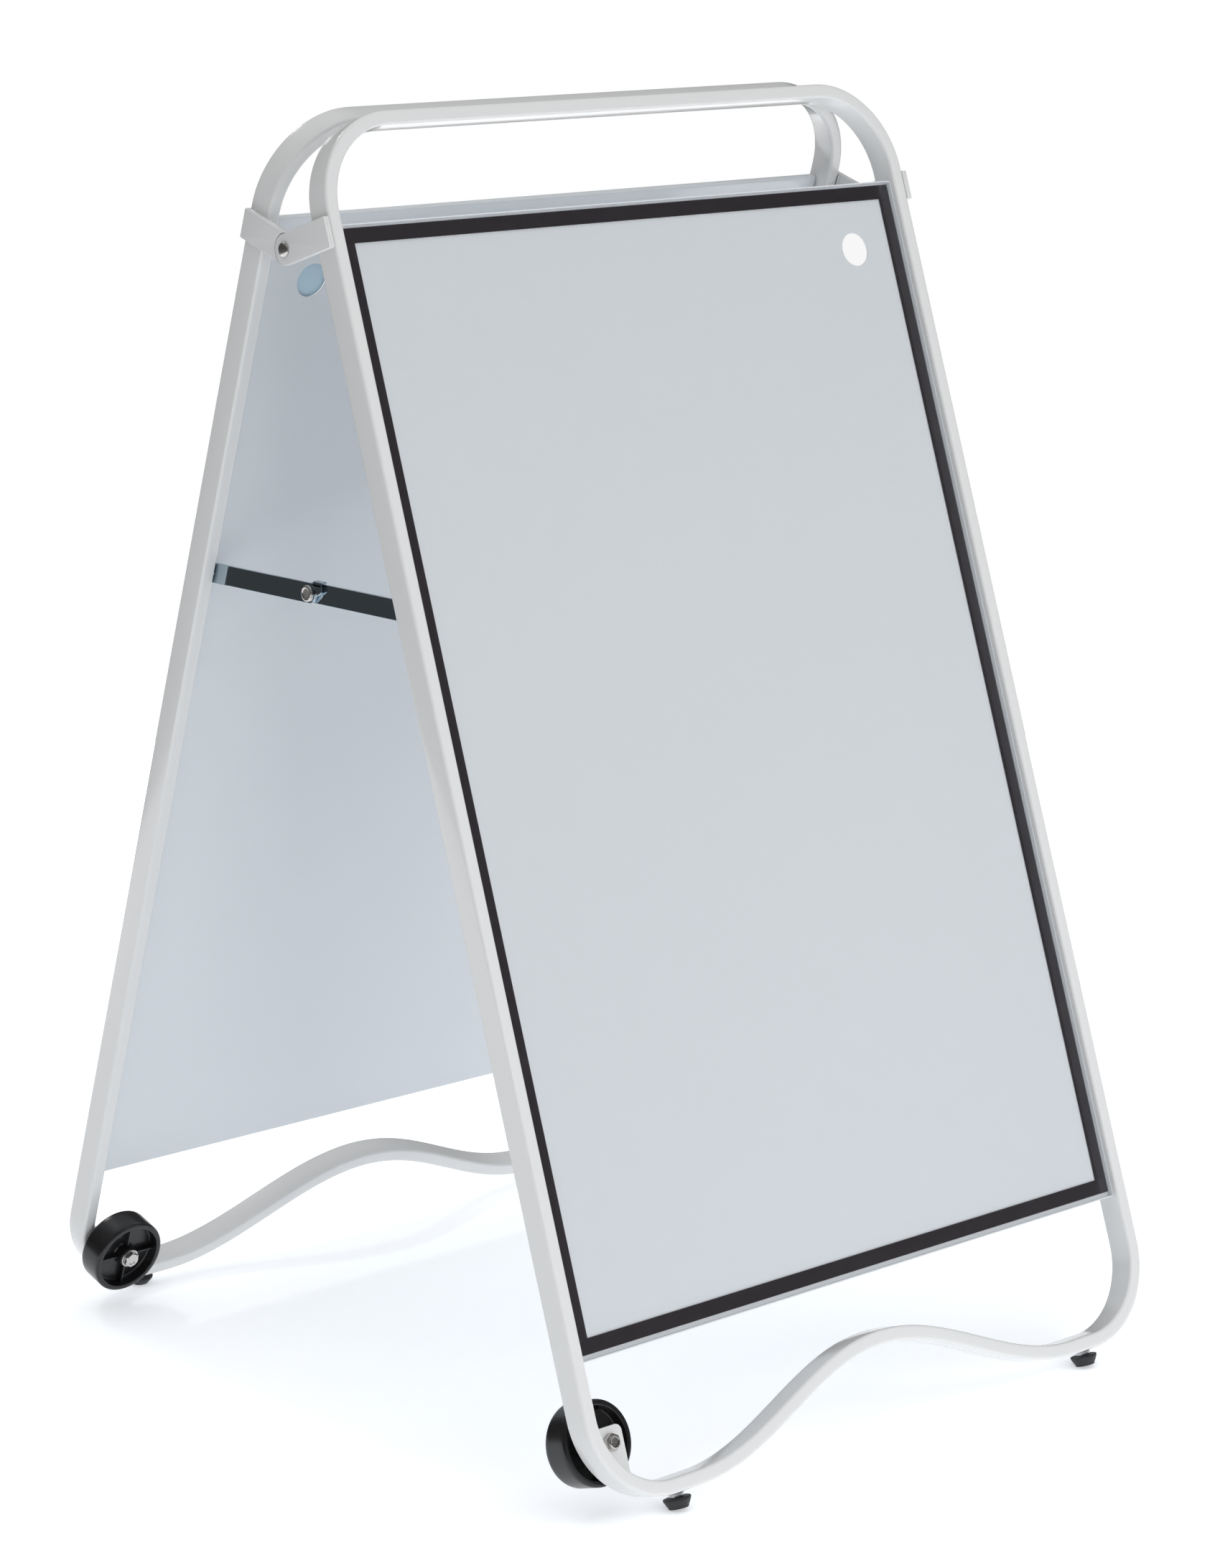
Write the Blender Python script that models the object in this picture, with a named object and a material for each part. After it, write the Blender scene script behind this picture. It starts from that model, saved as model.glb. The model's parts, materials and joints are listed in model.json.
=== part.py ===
"""Two-sided rolling board: two bent tube frames on a hinge, with boards, covers, stays, wheels and feet.

Frame: +Z up, X across the board, the front frame on the -Y side, origin on the floor under the middle.
Each frame is drawn in its own plane. `drop` runs down the frame from its top edge, `depth` runs inwards
from its outer face, and x runs across. Dimensions are in millimetres and become metres at the mesh.
"""
import math

import bmesh
import bpy
from mathutils import Vector

MM = 0.001

# Driving dimensions, in millimetres and degrees.
FRAME_WIDTH = 650.0
TUBE_FACE = 12.7            # tube seen from the front
TUBE_DEPTH = 25.4           # tube seen from the side
TUBE_WALL = 1.2
TUBE_EDGE = 2.5             # radius along the tube's edges
OPEN_HALF_ANGLE = 18.1      # lean of each frame when it stands open
PIVOT_DROP = 97.5
PIVOT_DEPTH = 60.0
GAP = 0.3                   # between pieces that touch on the real object

# The loop of tube.
TOP_CORNER = 82.0           # outside radii
LOW_CORNER = 78.0
LOW_CORNER_DROP = 1065.0    # centre of the low corners
WAVE_HALF = 220.0           # from the middle to where the wave runs flat
WAVE_RISE = 61.0

# Board and cover.
BOARD_TOP = 91.6
BOARD_BOTTOM = 1022.0
BOARD_FACE = 10.4           # depth of the writing face
BOARD_LIP = 5.0             # depth that its folded edges come forward to
SHEET_STEEL = 1.0
FINGER_HOLE_RADIUS = 15.0
FINGER_HOLE_X = 255.5
FINGER_HOLE_DROP = 150.5
COVER_HALF_WIDTH = 310.6
COVER_TOP = 94.3
COVER_BOTTOM = 1017.3
COVER_DEPTH = 8.5
COVER_THICKNESS = 0.4
MAGNET_WIDTH = 12.7
MAGNET_THICKNESS = 0.9

# Hinge.
HINGE_WIDTH = 26.0
HINGE_THICKNESS = 5.1
HINGE_FRONT_EDGE = 0.5
HINGE_BOLT_RADIUS = 4.0
HINGE_HEAD_RADIUS = 6.2
HINGE_HEAD_HEIGHT = 3.2

# Wheels, one in the low corner of each frame at -X.
WHEEL_X = -292.5
WHEEL_DROP = 1089.7
WHEEL_RADIUS = 35.0
WHEEL_OUTER = 30.5          # depths of its two sides
WHEEL_INNER = 56.0
RIM_INSIDE = 29.5
HUB_RADIUS = 9.0
WEB_HALF = 2.5
RIB_HALF = 1.1
RIB_SINK = 3.0              # how far the ribs stop below the rim's side
RIB_COUNT = 4
PLATE_DEPTH = 16.0
PLATE_THICKNESS = 3.0
AXLE_RADIUS = 3.9
RUNNING_CLEARANCE = 0.08

# Feet.
FOOT_X = 240.0
BOSS_RADIUS = 6.4
BOSS_BOTTOM = 1147.2
FOOT_TOP_RADIUS = 11.7
FOOT_BOTTOM_RADIUS = 8.4
FOOT_BOTTOM = 1156.5
FOOT_FLAT = 1.2             # how far the floor cuts into the leaning foot

# Folding stays.
STAY_DROP = 411.0
STAY_DEPTH = 20.7
STAY_RADIUS = 8.7           # half the bar's height
STAY_THICKNESS = 3.0
STAY_SIDE_GAP = 0.6
STOP_REACH = 16.5
STOP_THICKNESS = 1.8
RIVET_RADIUS = 2.6
RIVET_HEAD_RADIUS = 5.2
PIN_HEAD_RADIUS = 7.0

LEAN = math.radians(OPEN_HALF_ANGLE)
HALF_WIDTH = FRAME_WIDTH / 2
TUBE_INSIDE = HALF_WIDTH - TUBE_FACE
LOW_CORNER_X = HALF_WIDTH - LOW_CORNER
WAVE_LOW = LOW_CORNER_DROP + LOW_CORNER - TUBE_FACE / 2


def foot_lowest():
    """Height of a foot's lowest corner over the hinge, before the floor trims it."""
    inwards = PIVOT_DEPTH - TUBE_DEPTH / 2 - FOOT_BOTTOM_RADIUS
    return inwards * math.sin(LEAN) + (PIVOT_DROP - FOOT_BOTTOM) * math.cos(LEAN)


PIVOT_HEIGHT = -foot_lowest() - FOOT_FLAT


# ---------------------------------------------------------------- materials and small helpers
FINISHES = {
    "white_paint": ((0.80, 0.81, 0.81), 0.28, 0.0),
    "board_white": ((0.72, 0.76, 0.79), 0.22, 0.0),
    "clear_sheet": ((0.80, 0.87, 0.92), 0.08, 0.0),
    "magnet_black": ((0.035, 0.030, 0.035), 0.45, 0.0),
    "wheel_black": ((0.012, 0.012, 0.013), 0.42, 0.0),
    "rubber_black": ((0.015, 0.015, 0.016), 0.75, 0.0),
    "bright_steel": ((0.62, 0.60, 0.57), 0.22, 1.0),
    "dark_steel": ((0.10, 0.10, 0.11), 0.25, 1.0),
    "light_metal": ((0.66, 0.68, 0.70), 0.40, 1.0),
}
MATERIALS = {}


def clear_scene():
    for obj in list(bpy.data.objects):
        bpy.data.objects.remove(obj, do_unlink=True)


def make_materials():
    for name, (colour, roughness, metallic) in FINISHES.items():
        material = bpy.data.materials.new(name)
        material.use_nodes = True
        shader = material.node_tree.nodes["Principled BSDF"]
        shader.inputs["Base Color"].default_value = (*colour, 1.0)
        shader.inputs["Roughness"].default_value = roughness
        shader.inputs["Metallic"].default_value = metallic
        MATERIALS[name] = material


def empty(name, location, lean):
    obj = bpy.data.objects.new(name, None)
    obj.location = Vector(location) * MM
    obj.rotation_euler = (lean, 0.0, 0.0)
    bpy.context.scene.collection.objects.link(obj)
    return obj


def add_object(name, bm, material, parent=None, location=(0, 0, 0), smooth_angle=None):
    """Put a bmesh drawn in millimetres into a named object, scaled to metres."""
    bmesh.ops.scale(bm, vec=(MM, MM, MM), verts=bm.verts)
    bmesh.ops.recalc_face_normals(bm, faces=bm.faces)
    mesh = bpy.data.meshes.new(name)
    bm.to_mesh(mesh)
    bm.free()
    if smooth_angle:
        mesh.shade_smooth()
        mesh.set_sharp_from_angle(angle=math.radians(smooth_angle))
    obj = bpy.data.objects.new(name, mesh)
    obj.location = Vector(location) * MM
    obj.parent = parent
    if material:
        mesh.materials.append(MATERIALS[material])
    bpy.context.scene.collection.objects.link(obj)
    return obj


def add_cutter(name, bm, parent=None, location=(0, 0, 0)):
    cutter = add_object(name, bm, None, parent, location)
    cutter.hide_render = True
    cutter.display_type = "WIRE"
    return cutter


def boolean(target, cutter, operation="DIFFERENCE"):
    modifier = target.modifiers.new(cutter.name, "BOOLEAN")
    modifier.operation = operation
    modifier.solver = "EXACT"
    modifier.object = cutter


# ---------------------------------------------------------------- solids, drawn in millimetres
AXES = {"x": (1, 2, 0), "y": (0, 2, 1), "z": (0, 1, 2)}


def place(axis, a, b, along):
    """A point from two coordinates across `axis` and one along it."""
    point = [0.0, 0.0, 0.0]
    first, second, third = AXES[axis]
    point[first], point[second], point[third] = a, b, along
    return point


def add_prism(bm, outline, axis, low, high):
    """Carry a closed outline along an axis, with a flat face at each end."""
    ends = [[bm.verts.new(place(axis, a, b, along)) for a, b in outline] for along in (low, high)]
    bm.faces.new(ends[0])
    bm.faces.new(ends[1])
    for i in range(len(outline)):
        j = (i + 1) % len(outline)
        bm.faces.new((ends[0][i], ends[0][j], ends[1][j], ends[1][i]))
    return bm


def prism(outline, axis, low, high):
    return add_prism(bmesh.new(), outline, axis, low, high)


def circle(radius, segments=24, centre=(0.0, 0.0), turn=0.0):
    steps = [turn + 2 * math.pi * i / segments for i in range(segments)]
    return [(centre[0] + radius * math.cos(t), centre[1] + radius * math.sin(t)) for t in steps]


def arc(centre, radius, start, end, segments):
    """Points on an arc, both ends included, angles in degrees."""
    steps = [math.radians(start + (end - start) * i / segments) for i in range(segments + 1)]
    return [(centre[0] + radius * math.cos(t), centre[1] + radius * math.sin(t)) for t in steps]


def box_outline(x0, x1, z0, z1):
    return [(x0, z0), (x1, z0), (x1, z1), (x0, z1)]


def turned(profile, axis, centre=(0.0, 0.0), segments=24):
    """Turn a closed (radius, along) profile about an axis. A radius of 0 closes on the axis."""
    bm = bmesh.new()
    rings = []
    for radius, along in profile:
        if radius == 0:
            rings.append([bm.verts.new(place(axis, centre[0], centre[1], along))])
        else:
            ring = circle(radius, segments, centre)
            rings.append([bm.verts.new(place(axis, a, b, along)) for a, b in ring])
    closed = profile[0][0] != 0
    pairs = zip(rings, rings[1:] + rings[:1]) if closed else zip(rings, rings[1:])
    for ring, following in pairs:
        for i in range(segments):
            j = (i + 1) % segments
            corners = [ring[i % len(ring)], ring[j % len(ring)],
                       following[j % len(following)], following[i % len(following)]]
            face = [v for k, v in enumerate(corners) if v not in corners[:k]]
            bm.faces.new(face)
    return bm


def bushing(inner, outer, low, high, axis, centre, segments=20):
    return turned([(inner, low), (outer, low), (outer, high), (inner, high)], axis, centre, segments)


# ---------------------------------------------------------------- one frame and its own coordinates
class Frame:
    """A leaning frame. side is +1 for the front one and -1 for the rear one."""

    def __init__(self, name, side):
        self.name = name
        self.side = side
        self.origin = empty(name + "_frame_axis", (0, 0, PIVOT_HEIGHT), -side * LEAN)

    def y(self, depth):
        return self.side * (depth - PIVOT_DEPTH)

    def z(self, drop):
        return PIVOT_DROP - drop

    def depths(self, first, second):
        return sorted((self.y(first), self.y(second)))

    def outline(self, points):
        return [(x, self.z(drop)) for x, drop in points]

    def plate(self, points, first, second):
        """A plate in the frame's plane, between two depths."""
        low, high = self.depths(first, second)
        return prism(self.outline(points), "y", low, high)

    def add(self, name, bm, material, **extra):
        return add_object(name, bm, material, self.origin, **extra)

    def cut(self, target, name, bm):
        boolean(target, add_cutter(name, bm, self.origin))


def loop_centre_line():
    """The tube's centre line as (x, drop): two top corners, two low corners and the wave between them."""
    half_tube = TUBE_FACE / 2
    top = TOP_CORNER - half_tube
    low = LOW_CORNER - half_tube
    top_x = HALF_WIDTH - TOP_CORNER
    path = arc((-top_x, TOP_CORNER), top, 180, 270, 8)
    path += arc((top_x, TOP_CORNER), top, 270, 360, 8)
    path += arc((LOW_CORNER_X, LOW_CORNER_DROP), low, 0, 90, 8)
    steps = 24
    for i in range(steps + 1):
        x = WAVE_HALF * (1 - 2 * i / steps)
        path.append((x, WAVE_LOW - WAVE_RISE * (1 + math.cos(math.pi * x / WAVE_HALF)) / 2))
    path += arc((-LOW_CORNER_X, LOW_CORNER_DROP), low, 90, 180, 8)
    return path


def tube_section(width, depth, edge, segments):
    """A rounded rectangle about (0, 0), or a plain one when edge is 0."""
    if edge == 0:
        return [(-width / 2, -depth / 2), (width / 2, -depth / 2),
                (width / 2, depth / 2), (-width / 2, depth / 2)]
    section = []
    for quarter, (sx, sy) in enumerate(((1, 1), (-1, 1), (-1, -1), (1, -1))):
        centre = (sx * (width / 2 - edge), sy * (depth / 2 - edge))
        section += arc(centre, edge, 90 * quarter, 90 * quarter + 90, segments)
    return section


def sweep_loop(bm, frame, section, inwards=False):
    """Carry a section round the centre line. The section's x lies across the tube, in the frame's plane."""
    path = [Vector(point) for point in loop_centre_line()]
    rings = []
    for i, point in enumerate(path):
        along = (path[(i + 1) % len(path)] - path[i - 1]).normalized()
        across = Vector((-along.y, along.x))
        ring = []
        for offset, depth in section:
            spot = point + across * offset
            ring.append(bm.verts.new((spot.x, frame.y(TUBE_DEPTH / 2 + depth), frame.z(spot.y))))
        rings.append(ring)
    faces = []
    count = len(section)
    for i, ring in enumerate(rings):
        following = rings[(i + 1) % len(rings)]
        for j in range(count):
            k = (j + 1) % count
            faces.append(bm.faces.new((ring[j], ring[k], following[k], following[j])))
    bmesh.ops.recalc_face_normals(bm, faces=faces)
    return faces


def stay_point(frame):
    return frame.y(STAY_DEPTH), frame.z(STAY_DROP)


def add_loop(frame):
    """The bent tube, hollow, with the holes for the stay rivets in its inner walls."""
    bm = bmesh.new()
    sweep_loop(bm, frame, tube_section(TUBE_FACE, TUBE_DEPTH, TUBE_EDGE, 2))
    loop = frame.add(frame.name + "_loop", bm, "white_paint", smooth_angle=40)
    hollow = bmesh.new()
    sweep_loop(hollow, frame, tube_section(TUBE_FACE - 2 * TUBE_WALL, TUBE_DEPTH - 2 * TUBE_WALL, 0, 0))
    frame.cut(loop, frame.name + "_hollow", hollow)
    y, z = stay_point(frame)
    for side, sign in (("left", -1), ("right", 1)):
        low, high = sorted((sign * (TUBE_INSIDE - 4), sign * (TUBE_INSIDE + 5)))
        hole = prism(circle(RIVET_RADIUS + GAP, 12, (y, z)), "x", low, high)
        frame.cut(loop, f"{frame.name}_rivet_hole_{side}", hole)


def add_board(frame):
    """A steel tray: flat sheet, its four edges folded forward, with a finger hole to push the cover off."""
    half = TUBE_INSIDE - GAP
    back = BOARD_FACE + SHEET_STEEL
    outer = frame.plate(box_outline(-half, half, BOARD_TOP, BOARD_BOTTOM), BOARD_LIP, back)
    board = frame.add(frame.name + "_board", outer, "board_white")
    inner_half = half - SHEET_STEEL
    inner = box_outline(-inner_half, inner_half, BOARD_TOP + SHEET_STEEL, BOARD_BOTTOM - SHEET_STEEL)
    frame.cut(board, frame.name + "_tray", frame.plate(inner, BOARD_LIP - 5, BOARD_FACE))
    hole = circle(FINGER_HOLE_RADIUS, 32, (frame.side * FINGER_HOLE_X, FINGER_HOLE_DROP))
    frame.cut(board, frame.name + "_finger_hole", frame.plate(hole, BOARD_FACE - 3, back + 3))


def add_cover(frame):
    """A clear sheet with a magnetic border behind it. Its origin is on the line it is pulled off along."""
    outer = box_outline(-COVER_HALF_WIDTH, COVER_HALF_WIDTH, COVER_TOP, COVER_BOTTOM)
    back = COVER_DEPTH + COVER_THICKNESS
    frame.add(frame.name + "_cover_sheet", frame.plate(outer, COVER_DEPTH, back), "clear_sheet")
    border_front = back + GAP
    border = frame.plate(outer, border_front, border_front + MAGNET_THICKNESS)
    magnet = frame.add(frame.name + "_cover_border", border, "magnet_black")
    inner_half = COVER_HALF_WIDTH - MAGNET_WIDTH
    window = box_outline(-inner_half, inner_half, COVER_TOP + MAGNET_WIDTH, COVER_BOTTOM - MAGNET_WIDTH)
    frame.cut(magnet, frame.name + "_cover_window", frame.plate(window, border_front - 2, border_front + 3))


def add_hinge_half(frame, side, sign):
    """A wing from the tube to the hinge. The front wing laps outside, the rear one inside."""
    radius = HINGE_WIDTH / 2
    facing = -frame.side
    reach = PIVOT_DEPTH - HINGE_FRONT_EDGE
    round_end = arc((0, 0), radius, -90, 90, 12)
    outline = [(facing * -y, z) for y, z in round_end]
    outline += [(facing * reach, radius), (facing * reach, -radius)]
    tube_side = HALF_WIDTH + GAP
    middle = tube_side + HINGE_THICKNESS / 2
    outside = tube_side + HINGE_THICKNESS
    low, high = sorted((sign * tube_side, sign * outside))
    wing = frame.add(f"{frame.name}_hinge_{side}", prism(outline, "x", low, high), "white_paint",
                     smooth_angle=30)
    clear = radius + 0.9        # the square corners of the two wings pass each other as well
    if frame.side > 0:
        lap = (tube_side - 1, middle + GAP / 2)
    else:
        lap = (middle - GAP / 2, outside + 1)
    low, high = sorted((sign * lap[0], sign * lap[1]))
    frame.cut(wing, f"{wing.name}_lap", prism(circle(clear, 32), "x", low, high))
    low, high = sorted((sign * (tube_side - 2), sign * (outside + 2)))
    hole = prism(circle(HINGE_BOLT_RADIUS + RUNNING_CLEARANCE, 20), "x", low, high)
    frame.cut(wing, f"{wing.name}_bore", hole)


def add_wheel_plate(frame):
    """The gusset in the low corner. Its outer edge follows the inside of the tube's bend."""
    bend = LOW_CORNER - TUBE_FACE - 2 * GAP
    right = WHEEL_X + 14.5
    top = WHEEL_DROP - 12.7
    corner = 6.0
    start = 180 - math.degrees(math.asin((top - LOW_CORNER_DROP) / bend))
    end = 90 + math.degrees(math.asin((-LOW_CORNER_X - right) / bend))
    outline = arc((-LOW_CORNER_X, LOW_CORNER_DROP), bend, start, end, 10)
    outline += arc((right - corner, top + corner), corner, 360, 270, 4)
    depths = (PLATE_DEPTH, PLATE_DEPTH + PLATE_THICKNESS)
    plate = frame.add(frame.name + "_wheel_plate", frame.plate(outline, *depths), "white_paint")
    hole = circle(AXLE_RADIUS + RUNNING_CLEARANCE, 20, (WHEEL_X, WHEEL_DROP))
    frame.cut(plate, frame.name + "_wheel_plate_bore", frame.plate(hole, PLATE_DEPTH - 3, PLATE_DEPTH + 6))


def rib_pockets():
    """The pockets between the ribs on both sides of the web, drawn about the axle, along y."""
    bm = bmesh.new()
    middle = (WHEEL_OUTER + WHEEL_INNER) / 2
    half = (WHEEL_INNER - WHEEL_OUTER) / 2
    for i in range(RIB_COUNT):
        begin = 360 / RIB_COUNT * i
        finish = begin + 360 / RIB_COUNT
        outline = []
        for radius, first, last in ((HUB_RADIUS, begin, finish), (RIM_INSIDE, finish, begin)):
            trim = math.degrees(math.asin(RIB_HALF / radius)) * (1 if last > first else -1)
            outline += arc((0, 0), radius, first + trim, last - trim, 3 if radius < 20 else 5)
        for side in (-1, 1):
            low, high = sorted((side * WEB_HALF, side * (half + 1)))
            add_prism(bm, outline, "y", low, high)
    return bm, middle


def add_wheel(frame):
    """A moulded wheel: rim, web, hub and four ribs a side. Its origin is on the axle."""
    half = (WHEEL_INNER - WHEEL_OUTER) / 2
    bore = AXLE_RADIUS + RUNNING_CLEARANCE
    rib = half - RIB_SINK
    edge = 1.5
    one_side = [(bore, half), (HUB_RADIUS, half), (HUB_RADIUS + 0.2, rib), (RIM_INSIDE - 0.2, rib)]
    one_side += [(RIM_INSIDE, half - edge / 3), (RIM_INSIDE + edge / 2, half), (WHEEL_RADIUS - edge, half)]
    one_side += [(WHEEL_RADIUS - edge / 4, half - edge / 2), (WHEEL_RADIUS, half - 1.7 * edge)]
    profile = one_side + [(radius, -along) for radius, along in reversed(one_side)]
    pockets, middle = rib_pockets()
    place_at = (WHEEL_X, frame.y(middle), frame.z(WHEEL_DROP))
    wheel = frame.add(frame.name + "_wheel", turned(profile, "y", segments=30), "wheel_black",
                      location=place_at, smooth_angle=30)
    boolean(wheel, add_cutter(frame.name + "_wheel_pockets", pockets, frame.origin, place_at))


def add_axle(frame):
    """Bolt, washer, spacer sleeve and locking nut, all on the wheel's axis."""
    centre = (WHEEL_X, frame.z(WHEEL_DROP))
    bore = AXLE_RADIUS + RUNNING_CLEARANCE
    hexagon = 7.5

    def tube(name, inner, outer, first, second, finish):
        low, high = frame.depths(first, second)
        frame.add(name, bushing(inner, outer, low, high, "y", centre), finish, smooth_angle=30)

    plate_back = PLATE_DEPTH + PLATE_THICKNESS
    tube(frame.name + "_axle_sleeve", bore, 7.0, plate_back + GAP, WHEEL_OUTER - GAP, "light_metal")
    tube(frame.name + "_axle_washer", bore, 8.6, WHEEL_INNER + GAP, WHEEL_INNER + 1.3, "bright_steel")
    head = WHEEL_INNER + 1.3 + GAP
    tip = PLATE_DEPTH - 6.2
    low, high = frame.depths(head, head + 3.6)
    bolt = frame.add(frame.name + "_axle_bolt", prism(circle(hexagon, 6, centre), "y", low, high),
                     "bright_steel")
    low, high = frame.depths(tip, head + 1)
    shank = add_cutter(frame.name + "_axle_shank", prism(circle(AXLE_RADIUS, 20, centre), "y", low, high),
                       frame.origin)
    boolean(bolt, shank, "UNION")
    nut_back = PLATE_DEPTH - GAP
    low, high = frame.depths(nut_back - 5.0, nut_back)
    nut = frame.add(frame.name + "_axle_nut", prism(circle(hexagon, 6, centre), "y", low, high),
                    "bright_steel")
    low, high = frame.depths(nut_back - 7.0, nut_back - 4.0)
    collar = add_cutter(frame.name + "_axle_collar", prism(circle(5.9, 20, centre), "y", low, high),
                        frame.origin)
    boolean(nut, collar, "UNION")
    low, high = frame.depths(nut_back - 9.0, nut_back + 2.0)
    frame.cut(nut, frame.name + "_axle_nut_bore", prism(circle(bore, 20, centre), "y", low, high))


def add_feet(frame):
    """A welded boss and a tapered rubber foot at each low point, trimmed flat where it stands."""
    middle = frame.y(TUBE_DEPTH / 2)
    underside = LOW_CORNER_DROP + LOW_CORNER
    for side, sign in (("left", -1), ("right", 1)):
        centre = (sign * FOOT_X, middle)
        boss = prism(circle(BOSS_RADIUS, 20, centre), "z", frame.z(BOSS_BOTTOM), frame.z(underside + GAP))
        frame.add(f"{frame.name}_boss_{side}", boss, "light_metal", smooth_angle=30)
        top = frame.z(BOSS_BOTTOM + GAP)
        bottom = frame.z(FOOT_BOTTOM)
        profile = [(0, bottom), (FOOT_BOTTOM_RADIUS - 0.8, bottom), (FOOT_BOTTOM_RADIUS, bottom + 1.0),
                   (FOOT_TOP_RADIUS, top - 1.6), (FOOT_TOP_RADIUS, top - 0.4), (FOOT_TOP_RADIUS - 0.6, top),
                   (0, top)]
        foot = frame.add(f"{frame.name}_foot_{side}", turned(profile, "z", centre), "rubber_black",
                         smooth_angle=30)
        boolean(foot, FLOOR["cutter"])


FLOOR = {}


def add_floor_cutter():
    bm = prism(box_outline(-500, 500, -40, 0), "y", -600, 600)
    FLOOR["cutter"] = add_cutter("floor_trim", bm)


# ---------------------------------------------------------------- pieces that join the two frames
def add_hinge_fasteners(frame, side, sign):
    """The dome-headed hinge bolt and its nut inside the frames."""
    outside = HALF_WIDTH + GAP + HINGE_THICKNESS
    inside = HALF_WIDTH - 6.5
    start = outside + GAP
    dome = [(HINGE_HEAD_RADIUS, sign * start), (HINGE_HEAD_RADIUS - 0.3, sign * (start + 1.0)),
            (5.1, sign * (start + 2.1)), (3.0, sign * (start + 2.9)),
            (0, sign * (start + HINGE_HEAD_HEIGHT))]
    shank = [(0, sign * inside), (HINGE_BOLT_RADIUS, sign * inside), (HINGE_BOLT_RADIUS, sign * start)]
    frame.add(f"hinge_bolt_{side}", turned(shank + dome, "x", segments=20), "bright_steel", smooth_angle=50)
    low, high = sorted((sign * (HALF_WIDTH - 6.0), sign * HALF_WIDTH))
    nut = frame.add(f"hinge_nut_{side}", prism(circle(7.5, 6), "x", low, high), "bright_steel")
    low, high = sorted((sign * (HALF_WIDTH - 8.0), sign * (HALF_WIDTH + 2.0)))
    bore = circle(HINGE_BOLT_RADIUS + RUNNING_CLEARANCE, 20)
    frame.cut(nut, f"hinge_nut_bore_{side}", prism(bore, "x", low, high))


def stay_world(frame):
    """The stay's fixed pivot in world (y, z), in millimetres."""
    y, z = stay_point(frame)
    lean = -frame.side * LEAN
    return y * math.cos(lean) - z * math.sin(lean), PIVOT_HEIGHT + y * math.sin(lean) + z * math.cos(lean)


def bar_outline(length, towards, stop):
    """A flat bar from its pivot at (0, 0) to the middle pin, in world (y, z). A stop runs on past the pin."""
    points = arc((0, 0), STAY_RADIUS, 90, 270, 10)
    if stop:
        points += arc((length, 0), STAY_RADIUS, -90, -20, 5)
        points += [(length + STOP_REACH, 0.2 * STAY_RADIUS), (length + STOP_REACH, STAY_RADIUS)]
    else:
        points += arc((length, 0), STAY_RADIUS, -90, 90, 10)
    return [(towards * y, z) for y, z in points]


def add_stay(front, rear, side, sign):
    """Two bars that meet at a pin under the hinge: the rear bar by the tube, the front bar inside it."""
    outer = TUBE_INSIDE - STAY_SIDE_GAP
    planes = {rear.name: outer, front.name: outer - STAY_THICKNESS - GAP}
    for frame in (front, rear):
        y, z = stay_world(frame)
        towards = 1 if y < 0 else -1
        far = planes[frame.name]
        near = far - STAY_THICKNESS
        length = abs(y)
        is_rear = frame is rear
        origin = (sign * far, y, z)

        def slab(first, second):
            return sorted((sign * (first - far), sign * (second - far)))

        outline = bar_outline(length, towards, is_rear)
        bar = add_object(f"{side}_stay_{frame.name}_bar", prism(outline, "x", *slab(near, far)), "dark_steel",
                         location=origin)
        if is_rear:
            low_z = STAY_RADIUS + GAP
            reach = (towards * (length + 5.0), towards * (length + STOP_REACH))
            tab = prism(box_outline(min(reach), max(reach), STAY_RADIUS - 1.0, low_z + STOP_THICKNESS), "x",
                        *slab(near - STAY_THICKNESS, far))
            cutter = add_cutter(f"{side}_stay_stop", tab, location=origin)
            boolean(bar, cutter, "UNION")
            notch_reach = (towards * (length + 4.0), towards * (length + STOP_REACH + 2))
            notch = prism(box_outline(min(notch_reach), max(notch_reach), STAY_RADIUS - 3.0, low_z), "x",
                          *slab(near - STAY_THICKNESS - 2, near))
            boolean(bar, add_cutter(f"{side}_stay_stop_notch", notch, location=origin))
        for label, where in (("end", 0.0), ("pin", towards * length)):
            bore = circle(RIVET_RADIUS + RUNNING_CLEARANCE, 20, (where, 0))
            hole = prism(bore, "x", *slab(near - 2, far + 2))
            boolean(bar, add_cutter(f"{bar.name}_{label}_hole", hole, location=origin))
        add_stay_pins(frame, side, sign, far, near, (y, z), towards * length, is_rear)


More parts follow.
